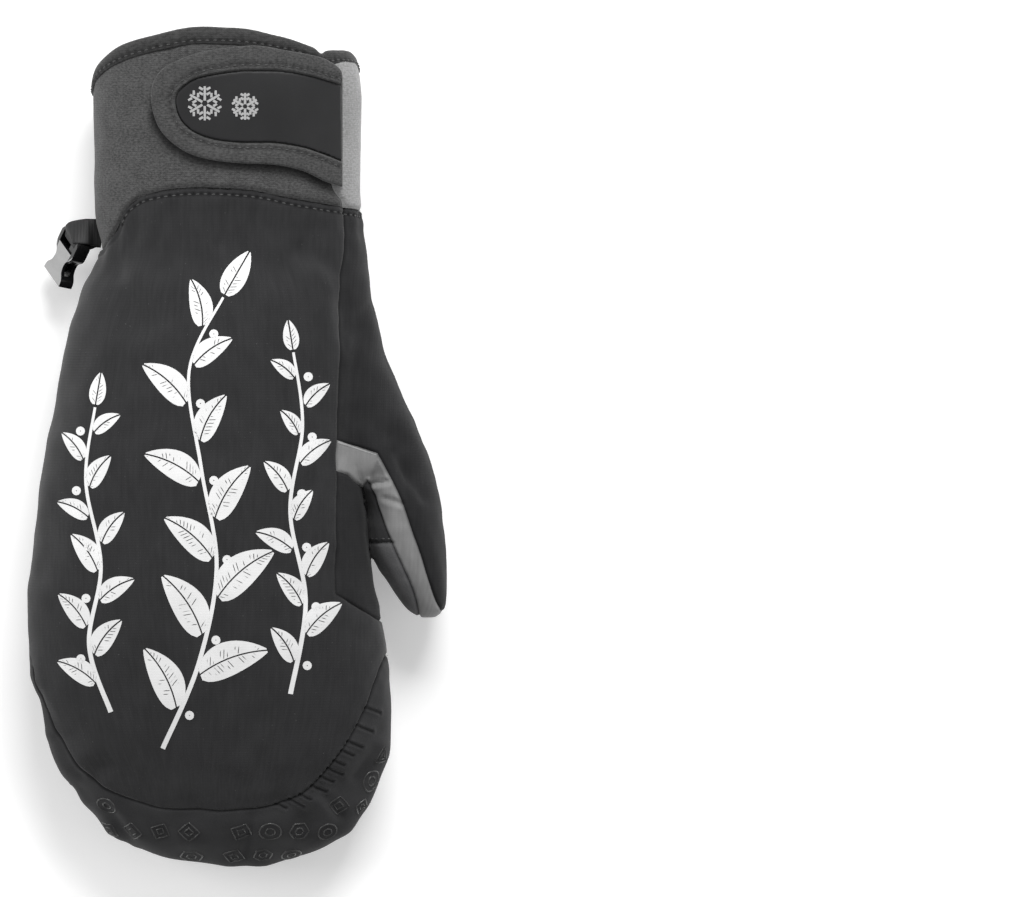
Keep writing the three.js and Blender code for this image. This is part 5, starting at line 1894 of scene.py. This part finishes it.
LIT_COPY_SHARE = 0.71  # how far from the mouth the buckle's faces get the lit grey copy
pieces["webbing"] = finish_piece("webbing_ribbon", webbing_map(webbing), [webbing_cloth],
                                 ["webbing_loop"])
pieces["buckle"] = finish_piece("buckle_plastic", buckle, [buckle_lit_copy, buckle_shaded_copy],
                                ["buckle_socket"], sharp=35.0)
# Outward faces near the mouth get the lit copy and all else the shaded copy: painted light and shade.
for polygon in buckle.polygons:
    spot = polygon.center / MM - BUCKLE_CENTRE
    on_face = abs(spot.dot(BUCKLE_FACE)) > BUCKLE["thick"] / 2 - 0.4
    level = abs(polygon.normal.dot(BUCKLE_FACE)) > 0.4
    share = spot.dot(BUCKLE_ALONG) / BUCKLE["length"] + 0.5
    polygon.material_index = 0 if on_face and level and share < LIT_COPY_SHARE else 1


# %% Finish the stitches and prints
for row, mesh in stitches.items():
    name = f"stitches_{row}"
    pieces[name] = finish_piece(name, mesh, [thread], sharp=180.0)
cloth_map(fold_highlight, THUMB_MIDDLE_X)
for name, mesh, material, slot, sharp in (
    ("back_print_ink", back_print, white_ink, "shell_fabric", 40.0),
    ("crotch_folded_edge", fold_highlight, fold_highlight_nylon, "contrast_fabric", 60.0),
    ("patch_crystal_ink", crystals, grey_ink, "patch_fabric", 40.0),
    ("palm_grip_silicone", palm_grip, silicone, "palm_fabric", 180.0),
    ("thumb_grip_silicone", thumb_grip, silicone, "palm_fabric", 180.0),
):
    pieces[name] = finish_piece(name, mesh, [material], sharp=sharp)
print("pieces in all:", len(pieces))

# %% [markdown]
# ## Floor and light
# The floor is a large pale sheet that gives off a little light, as for a product picture on pure white.
# A broad soft light stands beyond the cuff, one on the left draws the sheen along the little finger's
# side, and a weak one on the right opens the shadow beside the thumb.

# %% The floor
FLOOR_HALF = 6.0  # metres
floor_paper, floor_shader = new_material("matt_paper", Roughness=0.9, Specular_IOR_Level=0.2)
fibre = noise(floor_paper, object_place(floor_paper), scale=900.0, detail=3.0)
link(floor_paper, blend(floor_paper, fibre, "#e9e9e9", "#efefef"), floor_shader, "Base Color")
floor_shader.inputs["Emission Color"].default_value = linear("#ffffff")
floor_shader.inputs["Emission Strength"].default_value = 0.3
floor_form = bmesh.new()
bmesh.ops.create_grid(floor_form, x_segments=1, y_segments=1, size=FLOOR_HALF)
floor_mesh = mesh_of(floor_form)
floor_mesh.materials.append(floor_paper)
floor = bpy.data.objects.new("floor", floor_mesh)
bpy.context.scene.collection.objects.link(floor)
print("floor:", 2 * FLOOR_HALF, "m wide")


# %% The lights
def soft_box(name, place, size, power):
    """An area light at a place in metres, turned to the middle of the mitten."""
    data = bpy.data.lights.new(name, "AREA")
    data.shape = "RECTANGLE"
    data.size, data.size_y = size
    data.energy = power
    light = bpy.data.objects.new(name, data)
    light.location = place
    light.rotation_euler = (Vector((0.0, 0.0, 0.03)) - light.location).to_track_quat("-Z", "Y").to_euler()
    bpy.context.scene.collection.objects.link(light)
    return light


soft_box("key", (0.25, 1.0, 1.0), (0.7, 0.5), 18.5)
soft_box("left_fill", (-1.2, 0.2, 0.7), (0.7, 0.7), 8.0)
soft_box("right_fill", (1.3, -0.2, 0.9), (0.8, 0.8), 2.5)
world = bpy.data.worlds.new("studio")
world.use_nodes = True
world.node_tree.nodes["Background"].inputs["Color"].default_value = linear("#ffffff")
world.node_tree.nodes["Background"].inputs["Strength"].default_value = 0.42
bpy.context.scene.world = world
bpy.context.scene.view_settings.view_transform = "Standard"
print("lights:", 3)
